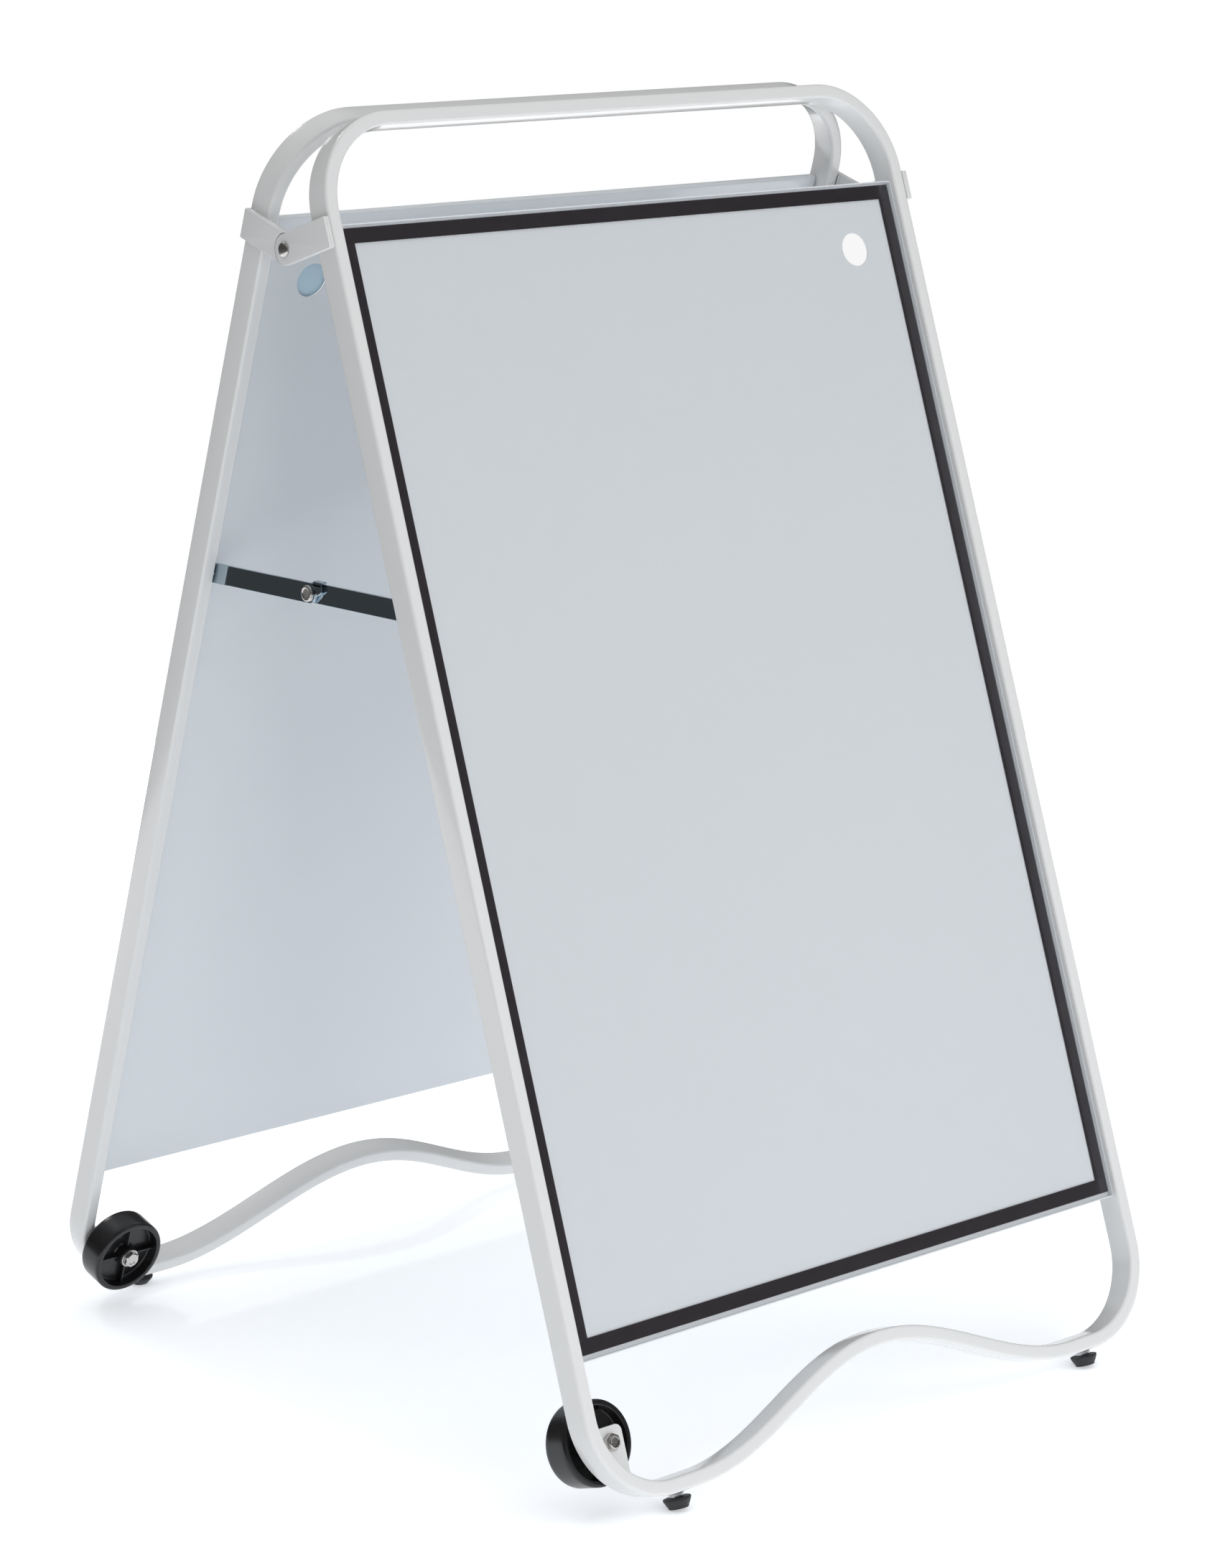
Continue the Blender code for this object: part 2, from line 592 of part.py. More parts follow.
def add_stay_pins(frame, side, sign, far, near, pivot, to_pin, is_rear):
    """The rivet into the tube, the spacer behind the front bar, and this bar's half of the middle pin."""
    y, z = pivot

    def rivet(name, centre, profile, finish="bright_steel"):
        spun = turned([(radius, sign * along) for radius, along in profile], "x", centre, 16)
        return add_object(name, spun, finish, smooth_angle=40)

    head = near - GAP
    shank = [(0, head - 2.2), (3.4, head - 2.0), (RIVET_HEAD_RADIUS, head - 0.9), (RIVET_HEAD_RADIUS, head),
             (RIVET_RADIUS, head), (RIVET_RADIUS, TUBE_INSIDE + 4), (0, TUBE_INSIDE + 4)]
    rivet(f"{side}_stay_{frame.name}_rivet", (y, z), shank)
    if not is_rear:
        ends = sorted((sign * (far + GAP), sign * (TUBE_INSIDE - GAP)))
        spun = bushing(RIVET_RADIUS + GAP, 5.5, *ends, "x", (y, z), 16)
        add_object(f"{side}_stay_spacer", spun, "light_metal", smooth_angle=40)
    middle = (y + to_pin, z)
    if is_rear:
        face = far + GAP
        pin = [(0, near), (RIVET_RADIUS, near), (RIVET_RADIUS, face), (PIN_HEAD_RADIUS, face),
               (PIN_HEAD_RADIUS, face + 2.6), (PIN_HEAD_RADIUS - 1.0, face + 3.4), (0, face + 3.4)]
        rivet(f"{side}_stay_pin_head", middle, pin)
    else:
        pin = [(0, head - 2.4), (3.6, head - 2.2), (PIN_HEAD_RADIUS - 1.2, head - 0.9),
               (PIN_HEAD_RADIUS - 1.2, head), (RIVET_RADIUS, head), (RIVET_RADIUS, far), (0, far)]
        rivet(f"{side}_stay_pin_tail", middle, pin)


def main():
    clear_scene()
    make_materials()
    add_floor_cutter()
    front = Frame("front", 1)
    rear = Frame("rear", -1)
    for frame in (front, rear):
        add_loop(frame)
        add_board(frame)
        add_cover(frame)
        add_wheel_plate(frame)
        add_wheel(frame)
        add_axle(frame)
        add_feet(frame)
    for side, sign in (("left", -1), ("right", 1)):
        add_hinge_half(front, side, sign)
        add_hinge_half(rear, side, sign)
        add_hinge_fasteners(front, side, sign)
        add_stay(front, rear, side, sign)


main()
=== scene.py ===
# %% [markdown]
# # A folding two-sided board
# Two bent tube frames lean on each other at a hinge. Each holds a white steel board, and over it a clear
# sheet with a black magnetic edge that pulls off. This lesson dresses the measured solids: smoother tubes,
# folded sheet metal, moulded wheels and turned fasteners, each with a surface that suits how it is made.
#
# The solids come in as a fixed frame. The hinge's height and the lean are read from its joints. Every other
# measure is drawn in millimetres.

# %% Load the solids
import json
import math

import bmesh
import bpy
import numpy as np
from mathutils import Matrix, Vector
from mathutils.geometry import tessellate_polygon


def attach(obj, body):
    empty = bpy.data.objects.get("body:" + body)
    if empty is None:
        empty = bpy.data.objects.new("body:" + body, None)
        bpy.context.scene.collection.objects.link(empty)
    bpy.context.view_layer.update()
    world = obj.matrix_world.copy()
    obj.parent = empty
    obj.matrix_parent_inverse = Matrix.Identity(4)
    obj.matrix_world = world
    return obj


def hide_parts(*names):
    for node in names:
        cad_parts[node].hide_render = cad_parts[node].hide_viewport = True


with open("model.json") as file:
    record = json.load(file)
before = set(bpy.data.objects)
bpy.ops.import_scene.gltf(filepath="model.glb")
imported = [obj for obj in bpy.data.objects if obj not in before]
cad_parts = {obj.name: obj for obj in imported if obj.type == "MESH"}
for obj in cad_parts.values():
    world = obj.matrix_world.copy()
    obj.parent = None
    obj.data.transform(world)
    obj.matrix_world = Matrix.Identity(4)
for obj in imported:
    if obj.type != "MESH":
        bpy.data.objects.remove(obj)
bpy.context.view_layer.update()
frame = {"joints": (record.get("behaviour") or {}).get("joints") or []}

joints = {joint["name"]: joint for joint in frame["joints"]}
pivot_height = joints["fold"]["pos_m"][2] * 1000
axle_line = joints["front_wheel_spin"]["axis"]
lean = math.atan2(axle_line[2], -axle_line[1])
print(f"hinge {pivot_height:.1f} mm up, each frame leans {math.degrees(lean):.2f} degrees")

# %% [markdown]
# ## One frame's own coordinates
# Each frame is flat, so its pieces are drawn flat: x across, `depth` inwards from the outer face and `drop`
# down from the top edge, in millimetres. One function leans them into place. The rear frame is the front
# one mirrored front to back, so the same drawing serves both, and the faces are turned outwards afterwards.

# %% Lean a drawing into place
PIVOT_DROP, PIVOT_DEPTH = 97.5, 60.0


def stand(side, x, depth, drop):
    """World metres: (depth - PIVOT_DEPTH, PIVOT_DROP - drop) turned about the hinge by the lean."""
    x, depth, drop = np.broadcast_arrays(np.asarray(x, float), depth, drop)
    y, z = side * (depth - PIVOT_DEPTH), PIVOT_DROP - drop
    cosine, sine = math.cos(lean), -side * math.sin(lean)
    return np.stack([x, y * cosine - z * sine, pivot_height + y * sine + z * cosine], -1) / 1000


SIDES = {"front": 1, "rear": -1}
top_edge = stand(SIDES["front"], 0, 0, 0)

# %% [markdown]
# ## From grids to meshes
# A surface here is a grid of points: an outline carried along a path, or a profile turned about an axis.
# The grid wraps round where the surface closes on itself. Flat ends are filled between an outer ring and
# any holes. Doubles are merged and normals are recalculated, so poles and seams close and faces point out.


# %% Grid and cap helpers
MERGE_DISTANCE, SLIVER_LENGTH = 2e-6, 1e-7


def wrap_faces(rows, columns, wrap_rows, wrap_columns, start=0):
    """Quads between neighbours of a rows by columns grid, wrapping where asked."""
    across, down = rows - (not wrap_rows), columns - (not wrap_columns)
    i, j = np.meshgrid(np.arange(across), np.arange(down), indexing="ij")
    i2, j2 = (i + 1) % rows, (j + 1) % columns
    corners = [i * columns + j, i2 * columns + j, i2 * columns + j2, i * columns + j2]
    return (np.stack(corners, -1).reshape(-1, 4) + start).tolist()


class Skin:
    """Collects grids and caps of one piece, then makes the mesh."""

    def __init__(self):
        self.points, self.faces, self.count = [], [], 0

    def grid(self, surface, wrap_rows=False, wrap_columns=True):
        rows, columns = surface.shape[:2]
        self.points.append(surface.reshape(-1, 3))
        self.faces += wrap_faces(rows, columns, wrap_rows, wrap_columns, self.count)
        self.count += rows * columns
        return self

    def cap(self, *rings):
        """Fill between a ring and the rings of its holes. The rings are flat and in world metres."""
        triangles = tessellate_polygon([[Vector(p) for p in ring.tolist()] for ring in rings])
        self.points.append(np.concatenate(rings))
        self.faces += [[self.count + k for k in triangle] for triangle in triangles]
        self.count += sum(len(ring) for ring in rings)
        return self

    def join(self, other):
        """Take in the grids and caps of another skin."""
        self.points += other.points
        self.faces += [[k + self.count for k in face] for face in other.faces]
        self.count += other.count
        return self

    def make(self, name, body, slot, material, nodes=(), sharp=35):
        """Merge doubles, turn faces outwards and place on a body. Edges over `sharp` degrees stay crisp."""
        mesh = bpy.data.meshes.new(name)
        mesh.from_pydata(np.concatenate(self.points).tolist(), [], self.faces)
        bm = bmesh.new()
        bm.from_mesh(mesh)
        bmesh.ops.remove_doubles(bm, verts=bm.verts, dist=MERGE_DISTANCE)
        bmesh.ops.dissolve_degenerate(bm, dist=SLIVER_LENGTH, edges=bm.edges)
        bmesh.ops.recalc_face_normals(bm, faces=bm.faces)
        bm.to_mesh(mesh)
        open_edges = sum(not edge.is_manifold for edge in bm.edges)
        volume = bm.calc_volume(signed=True) * 1e9
        bm.free()
        mesh.shade_smooth()
        mesh.set_sharp_from_angle(angle=math.radians(sharp))
        piece = bpy.data.objects.new(name, mesh)
        bpy.context.scene.collection.objects.link(piece)
        mesh.materials.append(material)
        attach(piece, body)
        if nodes:
            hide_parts(*nodes)
        print(f"{name}: {len(mesh.polygons)} faces, {volume:.0f} mm3, open edges {open_edges}")


print("a 3 by 4 grid that wraps one way has", len(wrap_faces(3, 4, False, True)), "faces")


# %% Outlines and turned profiles
def arc(cx, cy, radius, start, end, steps):
    """Points of an arc: centre plus radius times (cos t, sin t), t in degrees from start to end."""
    t = np.radians(np.linspace(start, end, steps + 1))
    return np.stack([cx + radius * np.cos(t), cy + radius * np.sin(t)], -1)


def round_box(half_a, half_b, radius, steps, centre=(0.0, 0.0)):
    """Rounded rectangle: four quarter arcs of `steps` edges, one in each corner."""
    a, b = half_a - radius, half_b - radius
    quarters = [arc(sa * a, sb * b, radius, t, t + 90, steps) for sa, sb, t in
                ((1, 1, 0), (-1, 1, 90), (-1, -1, 180), (1, -1, 270))]
    return np.concatenate(quarters) + np.array(centre)


def inset(outline, distance):
    """Move each edge inwards by the distance; corners move along their mitre, n1 + n2 over 1 + n1.n2."""
    after = np.roll(outline, -1, 0) - outline
    after /= np.linalg.norm(after, axis=1, keepdims=True)
    normal = np.stack([-after[:, 1], after[:, 0]], -1)
    x, y = outline.T
    turning = np.sum(x * np.roll(y, -1) - np.roll(x, -1) * y)
    normal *= 1 if turning > 0 else -1
    before = np.roll(normal, 1, 0)
    mitre = (normal + before) / (1 + np.sum(normal * before, 1, keepdims=True))
    return outline + distance * mitre


def turn(profile, steps=48, limit=None):
    """Turn (radius, along) about an axis. limit(t) caps the radius by angle, which makes hexagons."""
    t = np.linspace(0, 2 * math.pi, steps, endpoint=False)
    radius, along = np.array(profile, float).T
    wide = np.repeat(radius[:, None], steps, 1)
    if limit is not None:
        wide = np.minimum(wide, limit(t)[None, :])
    return wide * np.cos(t), wide * np.sin(t), np.repeat(along[:, None], steps, 1)


def hexagon(across_flats):
    """Radius of a hexagon by angle: half the flats over cos of the angle from the nearest flat."""
    return lambda t: across_flats / 2 / np.cos((t + math.pi / 6) % (math.pi / 3) - math.pi / 6)


def slab(place, outline, low, high, edge, holes=(), hole_edge=0.15):
    """A plate between two heights. Its rim is rounded: inset edge (1 - sin s), height edge (1 - cos s).

    Each hole is (x, y, radius) in the outline's plane, with a small chamfer of hole_edge at both ends.
    """
    s = np.radians(np.linspace(0, 90, 4))
    ins, rise = edge * (1 - np.sin(s)), edge * (1 - np.cos(s))
    heights = np.concatenate([low + rise, high - rise[::-1]])
    rings = [inset(outline, k) if k > 1e-9 else outline for k in np.concatenate([ins, ins[::-1]])]
    skin = Skin()
    skin.grid(np.stack([place(ring[:, 0], ring[:, 1], height) for ring, height in zip(rings, heights)]))
    ends = {low: [place(rings[0][:, 0], rings[0][:, 1], low)],
            high: [place(rings[-1][:, 0], rings[-1][:, 1], high)]}
    for cx, cy, radius in holes:
        wall = []
        levels = ((low, hole_edge), (low + hole_edge, 0), (high - hole_edge, 0), (high, hole_edge))
        for height, extra in levels:
            ring = arc(cx, cy, radius + extra, 0, 360, 40)[:-1]
            wall.append(place(ring[:, 0], ring[:, 1], height))
        skin.grid(np.stack(wall))
        ends[low].append(wall[0])
        ends[high].append(wall[-1])
    skin.cap(*ends[low])
    skin.cap(*ends[high])
    return skin


HEXAGON = hexagon(13.0)
print("the hexagon is", round(2 * float(HEXAGON(math.pi / 6)), 2), "mm across its corners")

# %% [markdown]
# ## Surface effects shared by the finishes
# Powder coat and enamel both flow a little as they cure, which leaves a faint orange peel. Bright metal
# carries fine lines from rolling or polishing. Black mouldings and the magnet strip catch dust. Each effect
# is a node group with its own numbers, so each finish can use it at its own strength.


# %% Node groups
def new_group(name, inputs, outputs):
    """An empty group with its sockets. Gives the group, its input node and its output node."""
    group = bpy.data.node_groups.new(name, "ShaderNodeTree")
    for label, kind, value in inputs:
        socket = group.interface.new_socket(label, in_out="INPUT", socket_type=kind)
        socket.default_value = value
    for label, kind in outputs:
        group.interface.new_socket(label, in_out="OUTPUT", socket_type=kind)
    return group, group.nodes.new("NodeGroupInput"), group.nodes.new("NodeGroupOutput")


def node(tree, kind, **settings):
    """A new node. A setting named like one of its sockets fills that socket, any other sets the node."""
    made = tree.nodes.new(kind)
    for key, value in settings.items():
        if key in made.inputs:
            made.inputs[key].default_value = value
        else:
            setattr(made, key, value)
    return made


FLOAT, COLOUR, VECTOR = "NodeSocketFloat", "NodeSocketColor", "NodeSocketVector"


def peel_group():
    """Two noises: fine bumps for the peel, broad drifts for its thickness."""
    group, given, put = new_group(
        "Orange peel", [("Size", FLOAT, 300.0), ("Height", FLOAT, 0.1), ("Drift", FLOAT, 4.0),
                        ("Colour A", COLOUR, (1, 1, 1, 1)), ("Colour B", COLOUR, (1, 1, 1, 1))],
        [("Colour", COLOUR), ("Drift", FLOAT), ("Normal", VECTOR)])
    link = group.links.new
    coords = group.nodes.new("ShaderNodeTexCoord")
    fine = node(group, "ShaderNodeTexNoise", Detail=2.0)
    broad = node(group, "ShaderNodeTexNoise", Detail=3.0)
    bump = node(group, "ShaderNodeBump", Distance=0.0006)
    mix = node(group, "ShaderNodeMix", data_type="RGBA")
    for noise, scale in ((fine, "Size"), (broad, "Drift")):
        link(coords.outputs["Object"], noise.inputs["Vector"])
        link(given.outputs[scale], noise.inputs["Scale"])
    link(fine.outputs["Fac"], bump.inputs["Height"])
    link(given.outputs["Height"], bump.inputs["Strength"])
    link(broad.outputs["Fac"], mix.inputs["Factor"])
    link(given.outputs["Colour A"], mix.inputs[6])
    link(given.outputs["Colour B"], mix.inputs[7])
    link(mix.outputs[2], put.inputs["Colour"])
    link(broad.outputs["Fac"], put.inputs["Drift"])
    link(bump.outputs["Normal"], put.inputs["Normal"])
    return group


def grain_group():
    """Noise stretched along one direction, as fine lines, read as a small height and a change of gloss."""
    group, given, put = new_group(
        "Metal grain", [("Stretch", VECTOR, (200.0, 2000.0, 2000.0)), ("Height", FLOAT, 0.1)],
        [("Lines", FLOAT), ("Normal", VECTOR)])
    link = group.links.new
    coords = group.nodes.new("ShaderNodeTexCoord")
    mapping = group.nodes.new("ShaderNodeMapping")
    noise = node(group, "ShaderNodeTexNoise", Scale=1.0, Detail=2.0)
    bump = node(group, "ShaderNodeBump", Distance=0.0002)
    link(coords.outputs["Object"], mapping.inputs["Vector"])
    link(given.outputs["Stretch"], mapping.inputs["Scale"])
    link(mapping.outputs["Vector"], noise.inputs["Vector"])
    link(noise.outputs["Fac"], bump.inputs["Height"])
    link(given.outputs["Height"], bump.inputs["Strength"])
    link(noise.outputs["Fac"], put.inputs["Lines"])
    link(bump.outputs["Normal"], put.inputs["Normal"])
    return group


def dust_group():
    """Specks where a fine noise is high, over a soft film, mixed into the colour; plus a moulded bump."""
    group, given, put = new_group(
        "Dust and mould skin", [("Colour", COLOUR, (0, 0, 0, 1)), ("Dust", COLOUR, (0.3, 0.3, 0.3, 1)),
                                ("Amount", FLOAT, 0.2), ("Grain", FLOAT, 900.0), ("Height", FLOAT, 0.2)],
        [("Colour", COLOUR), ("Film", FLOAT), ("Normal", VECTOR)])
    link = group.links.new
    coords = group.nodes.new("ShaderNodeTexCoord")
    film = node(group, "ShaderNodeTexNoise", Scale=35.0, Detail=6.0, Roughness=0.7)
    grain = node(group, "ShaderNodeTexNoise", Detail=3.0)
    ramp = node(group, "ShaderNodeMapRange")
    ramp.inputs["From Min"].default_value, ramp.inputs["From Max"].default_value = 0.5, 0.85
    scale = node(group, "ShaderNodeMath", operation="MULTIPLY")
    mix = node(group, "ShaderNodeMix", data_type="RGBA")
    bump = node(group, "ShaderNodeBump", Distance=0.0003)
    link(coords.outputs["Object"], film.inputs["Vector"])
    link(coords.outputs["Object"], grain.inputs["Vector"])
    link(given.outputs["Grain"], grain.inputs["Scale"])
    link(film.outputs["Fac"], ramp.inputs["Value"])
    link(ramp.outputs["Result"], scale.inputs[0])
    link(given.outputs["Amount"], scale.inputs[1])
    link(scale.outputs[0], mix.inputs["Factor"])
    link(given.outputs["Colour"], mix.inputs[6])
    link(given.outputs["Dust"], mix.inputs[7])
    link(grain.outputs["Fac"], bump.inputs["Height"])
    link(given.outputs["Height"], bump.inputs["Strength"])
    link(mix.outputs[2], put.inputs["Colour"])
    link(ramp.outputs["Result"], put.inputs["Film"])
    link(bump.outputs["Normal"], put.inputs["Normal"])
    return group


PEEL, GRAIN, DUST = peel_group(), grain_group(), dust_group()
print("groups:", [group.name for group in bpy.data.node_groups])

# %% [markdown]
# ## The finishes
# White powder coat on the tubes, a bluer baked enamel on the boards, black magnet strip, satin black nylon,
# matt black rubber, bright nickel on the fasteners, plain zinc on the bosses and spacers, and polished zinc
# on the folding stays. The roughness of each drifts a little, as a real batch does.
#
# The clear sheet is drawn as its gloss alone. Its alpha is 0.035 face on and rises with the fifth power of
# the facing angle, as gloss does on real plastic, so the board behind it isn't darkened by two thin walls.


# %% Material helpers
NOISE_LOW, NOISE_HIGH = 0.3, 0.7


def finish(name, **plain):
    """A material whose shader takes plain constants. Gives the material, its tree and its shader."""
    material = bpy.data.materials.new(name)
    material.use_nodes = True
    shader = material.node_tree.nodes["Principled BSDF"]
    for key, value in plain.items():
        shader.inputs[key.replace("_", " ")].default_value = value
    return material, material.node_tree, shader


def use_group(tree, group, **values):
    made = tree.nodes.new("ShaderNodeGroup")
    made.node_tree = group
    for key, value in values.items():
        made.inputs[key.replace("_", " ")].default_value = value
    return made


def spread(tree, output, low, high, target):
    """Map the usual reach of a noise to a range of values, because noise keeps near its middle."""
    ramp = tree.nodes.new("ShaderNodeMapRange")
    ramp.inputs["From Min"].default_value, ramp.inputs["From Max"].default_value = NOISE_LOW, NOISE_HIGH
    ramp.inputs["To Min"].default_value, ramp.inputs["To Max"].default_value = low, high
    tree.links.new(output, ramp.inputs["Value"])
    tree.links.new(ramp.outputs["Result"], target)


def painted(name, light, dark, size, height, gloss, **plain):
    """Two close colours and a roughness that drift together, over an orange peel."""
    material, tree, shader = finish(name, **plain)
    peel = use_group(tree, PEEL, Size=size, Height=height, Colour_A=(*light, 1), Colour_B=(*dark, 1))
    tree.links.new(peel.outputs["Colour"], shader.inputs["Base Color"])
    spread(tree, peel.outputs["Drift"], *gloss, shader.inputs["Roughness"])
    tree.links.new(peel.outputs["Normal"], shader.inputs["Normal"])
    return material


def moulded(name, colour, dust, amount, grain, height, gloss):
    """One colour under dust, with a fine moulded grain."""
    material, tree, shader = finish(name)
    skin = use_group(tree, DUST, Colour=(*colour, 1), Dust=(*dust, 1), Amount=amount, Grain=grain,
                     Height=height)
    tree.links.new(skin.outputs["Colour"], shader.inputs["Base Color"])
    spread(tree, skin.outputs["Film"], *gloss, shader.inputs["Roughness"])
    tree.links.new(skin.outputs["Normal"], shader.inputs["Normal"])
    return material


def metal(name, colour, stretch, height, gloss):
    """Bare metal whose roughness and height follow the same fine lines."""
    material, tree, shader = finish(name, Base_Color=(*colour, 1), Metallic=1.0)
    lines = use_group(tree, GRAIN, Stretch=stretch, Height=height)
    spread(tree, lines.outputs["Lines"], *gloss, shader.inputs["Roughness"])
    tree.links.new(lines.outputs["Normal"], shader.inputs["Normal"])
    return material


print("roughness follows a noise from", NOISE_LOW, "to", NOISE_HIGH)

# %% The materials
powder = painted("White powder coat", (0.745, 0.750, 0.748), (0.725, 0.733, 0.736), 330.0, 0.06,
                 (0.16, 0.24), Coat_Weight=0.35, Coat_Roughness=0.06)
enamel = painted("White board enamel", (0.722, 0.755, 0.785), (0.712, 0.746, 0.780), 60.0, 0.01,
                 (0.14, 0.19), Coat_Weight=0.2, Coat_Roughness=0.05)
strip = moulded("Black magnet strip", (0.026, 0.021, 0.026), (0.10, 0.095, 0.10), 0.10, 700.0, 0.05,
                (0.30, 0.42))
nylon = moulded("Satin black nylon", (0.0095, 0.0095, 0.0105), (0.10, 0.10, 0.10), 0.10, 1200.0, 0.10,
                (0.26, 0.42))
rubber = moulded("Matt black rubber", (0.016, 0.016, 0.017), (0.16, 0.155, 0.15), 0.20, 1500.0, 0.30,
                 (0.55, 0.75))
nickel = metal("Bright nickel", (0.60, 0.58, 0.56), (900.0, 900.0, 900.0), 0.03, (0.22, 0.32))
zinc = metal("Polished zinc", (0.40, 0.48, 0.54), (900.0, 60.0, 3000.0), 0.02, (0.05, 0.10))
plain_zinc = metal("Plain zinc", (0.70, 0.72, 0.74), (1500.0, 1500.0, 1500.0), 0.12, (0.30, 0.42))
# The pale blue disc is painted shade: its colour stands for the bluish backdrop in shadow, seen through the
# rear finger hole.
film = finish("Pale blue painted backdrop", Base_Color=(0.52, 0.68, 0.79, 1), Roughness=0.35)[0]
print("materials:", [material.name for material in bpy.data.materials])

# %% The clear sheet
FACE_ON, EDGE_ON, STEEPNESS = 0.035, 0.90, 5.0
clear, clear_tree, clear_shader = finish("Clear sheet", Base_Color=(0.90, 0.94, 0.96, 1), Roughness=0.03,
                                         Metallic=1.0)
wave = use_group(clear_tree, PEEL, Size=9.0, Height=0.10)
edge_on = node(clear_tree, "ShaderNodeLayerWeight", Blend=0.5)
steep = node(clear_tree, "ShaderNodeMath", operation="POWER")
steep.inputs[1].default_value = STEEPNESS
gleam = node(clear_tree, "ShaderNodeMath", operation="MULTIPLY_ADD")
gleam.inputs[1].default_value, gleam.inputs[2].default_value = EDGE_ON, FACE_ON
clear_tree.links.new(wave.outputs["Normal"], clear_shader.inputs["Normal"])
clear_tree.links.new(edge_on.outputs["Facing"], steep.inputs[0])
clear_tree.links.new(steep.outputs[0], gleam.inputs[0])
clear_tree.links.new(gleam.outputs[0], clear_shader.inputs["Alpha"])
print("the clear sheet's alpha runs from", FACE_ON, "face on to", FACE_ON + EDGE_ON, "edge on")

# %% [markdown]
# ## The bent tube
# One rectangular tube is bent into a closed loop: two round top corners, two low corners, and a wave in
# the low bar that clears uneven ground and leaves room for a foot. It could be a bevelled curve, but a
# rounded rectangle carried along computed points keeps the section square to the path everywhere.

# %% Carry a section round the loop
TUBE_MIDDLE = 12.7
SIDE_X = 318.65
TOP_X, TOP_DROP, TOP_RADIUS = 243.0, 82.0, 75.65
LOW_X, LOW_DROP, LOW_RADIUS = 247.0, 1065.0, 71.65
WAVE_LOW, WAVE_HALF, WAVE_RISE = LOW_DROP + LOW_RADIUS, 220.0, 61.0


def loop_line():
    """Centre line as (x, drop). In the wave, drop = low - rise (1 + cos(pi x / half)) / 2."""
    x = np.linspace(WAVE_HALF, -WAVE_HALF, 121)
    wave_line = np.stack([x, WAVE_LOW - WAVE_RISE * (1 + np.cos(math.pi * x / WAVE_HALF)) / 2], -1)
    side_drop = np.linspace(TOP_DROP, LOW_DROP, 26)[1:-1]
    left = np.stack([np.full(24, -SIDE_X), side_drop[::-1]], -1)
    right = np.stack([np.full(24, SIDE_X), side_drop], -1)
    top_left = arc(-TOP_X, TOP_DROP, TOP_RADIUS, 180, 270, 28)
    top_right = arc(TOP_X, TOP_DROP, TOP_RADIUS, 270, 360, 28)
    low_right = arc(LOW_X, LOW_DROP, LOW_RADIUS, 0, 90, 28)
    low_left = arc(-LOW_X, LOW_DROP, LOW_RADIUS, 90, 180, 28)
    return np.concatenate([top_left, top_right, right, low_right, wave_line, low_left, left])


def carry(side, line, section):
    """Point(i, j) = line(i) + across(i) a(j), at mid tube + b(j); across is the tangent turned a quarter."""
    along = np.roll(line, -1, 0) - np.roll(line, 1, 0)
    along /= np.linalg.norm(along, axis=1, keepdims=True)
    across = np.stack([-along[:, 1], along[:, 0]], -1)
    a, b = section.T
    x = line[:, 0, None] + across[:, 0, None] * a
    drop = line[:, 1, None] + across[:, 1, None] * a
    return stand(side, x, TUBE_MIDDLE + np.repeat(b[None], len(line), 0), drop)


tube_section = round_box(6.26, 12.6, 2.7, 6)
for name, side in SIDES.items():
    Skin().grid(carry(side, loop_line(), tube_section), wrap_rows=True).make(
        f"{name}_tube", f"{name}_frame", "white_paint", powder, [f"{name}_loop"], sharp=60)

# %% [markdown]
# ## The boards
# Each board is a tray of one millimetre steel: the face, and four edges folded forward. The fold has a
# small radius, so the profile is carried round the rim with round bends, and the face and back are filled
# between the rim and the finger hole.


# %% Fold a tray
BOARD_HALF, BOARD_TOP, BOARD_LOW = 312.0, 91.6, 1022.0
LIP_TOP, FACE, BACK = 5.0, 10.4, 11.4
OUTER_BEND, INNER_BEND = 1.6, 0.6
HOLE_X, HOLE_DROP, HOLE_RADIUS = 255.5, 150.5, 15.0


def tray(side):
    """Rings round the rim: from the face, up inside the lip, over its top, down outside, to the back."""
    bend_depth = FACE - INNER_BEND
    bend_in = [(OUTER_BEND - INNER_BEND * math.sin(t), bend_depth + INNER_BEND * math.cos(t))
               for t in np.radians([0, 30, 60, 90])]
    bend_out = [(OUTER_BEND - OUTER_BEND * math.cos(t), bend_depth + OUTER_BEND * math.sin(t))
                for t in np.radians([0, 22, 45, 67, 90])]
    lip = [(1.0, LIP_TOP + 0.2), (0.8, LIP_TOP), (0.2, LIP_TOP), (0.0, LIP_TOP + 0.2)]
    middle, half = (BOARD_TOP + BOARD_LOW) / 2, (BOARD_LOW - BOARD_TOP) / 2
    rings = []
    for inwards, depth in bend_in + lip + bend_out:
        outline = round_box(BOARD_HALF - inwards, half - inwards, max(2.6 - inwards, 0.4), 4, (0, middle))
        rings.append(stand(side, outline[:, 0], depth, outline[:, 1]))
    wall = []
    for extra, depth in ((0.25, FACE), (0.0, FACE + 0.2), (0.0, BACK - 0.2), (0.25, BACK)):
        ring = arc(side * HOLE_X, HOLE_DROP, HOLE_RADIUS + extra, 0, 360, 72)[:-1]
        wall.append(stand(side, ring[:, 0], depth, ring[:, 1]))
    skin = Skin().grid(np.stack(rings)).grid(np.stack(wall))
    return skin.cap(rings[0], wall[0]).cap(rings[-1], wall[-1])


for name, side in SIDES.items():
    tray(side).make(f"{name}_tray", f"{name}_frame", "board_white", enamel, [f"{name}_board"])
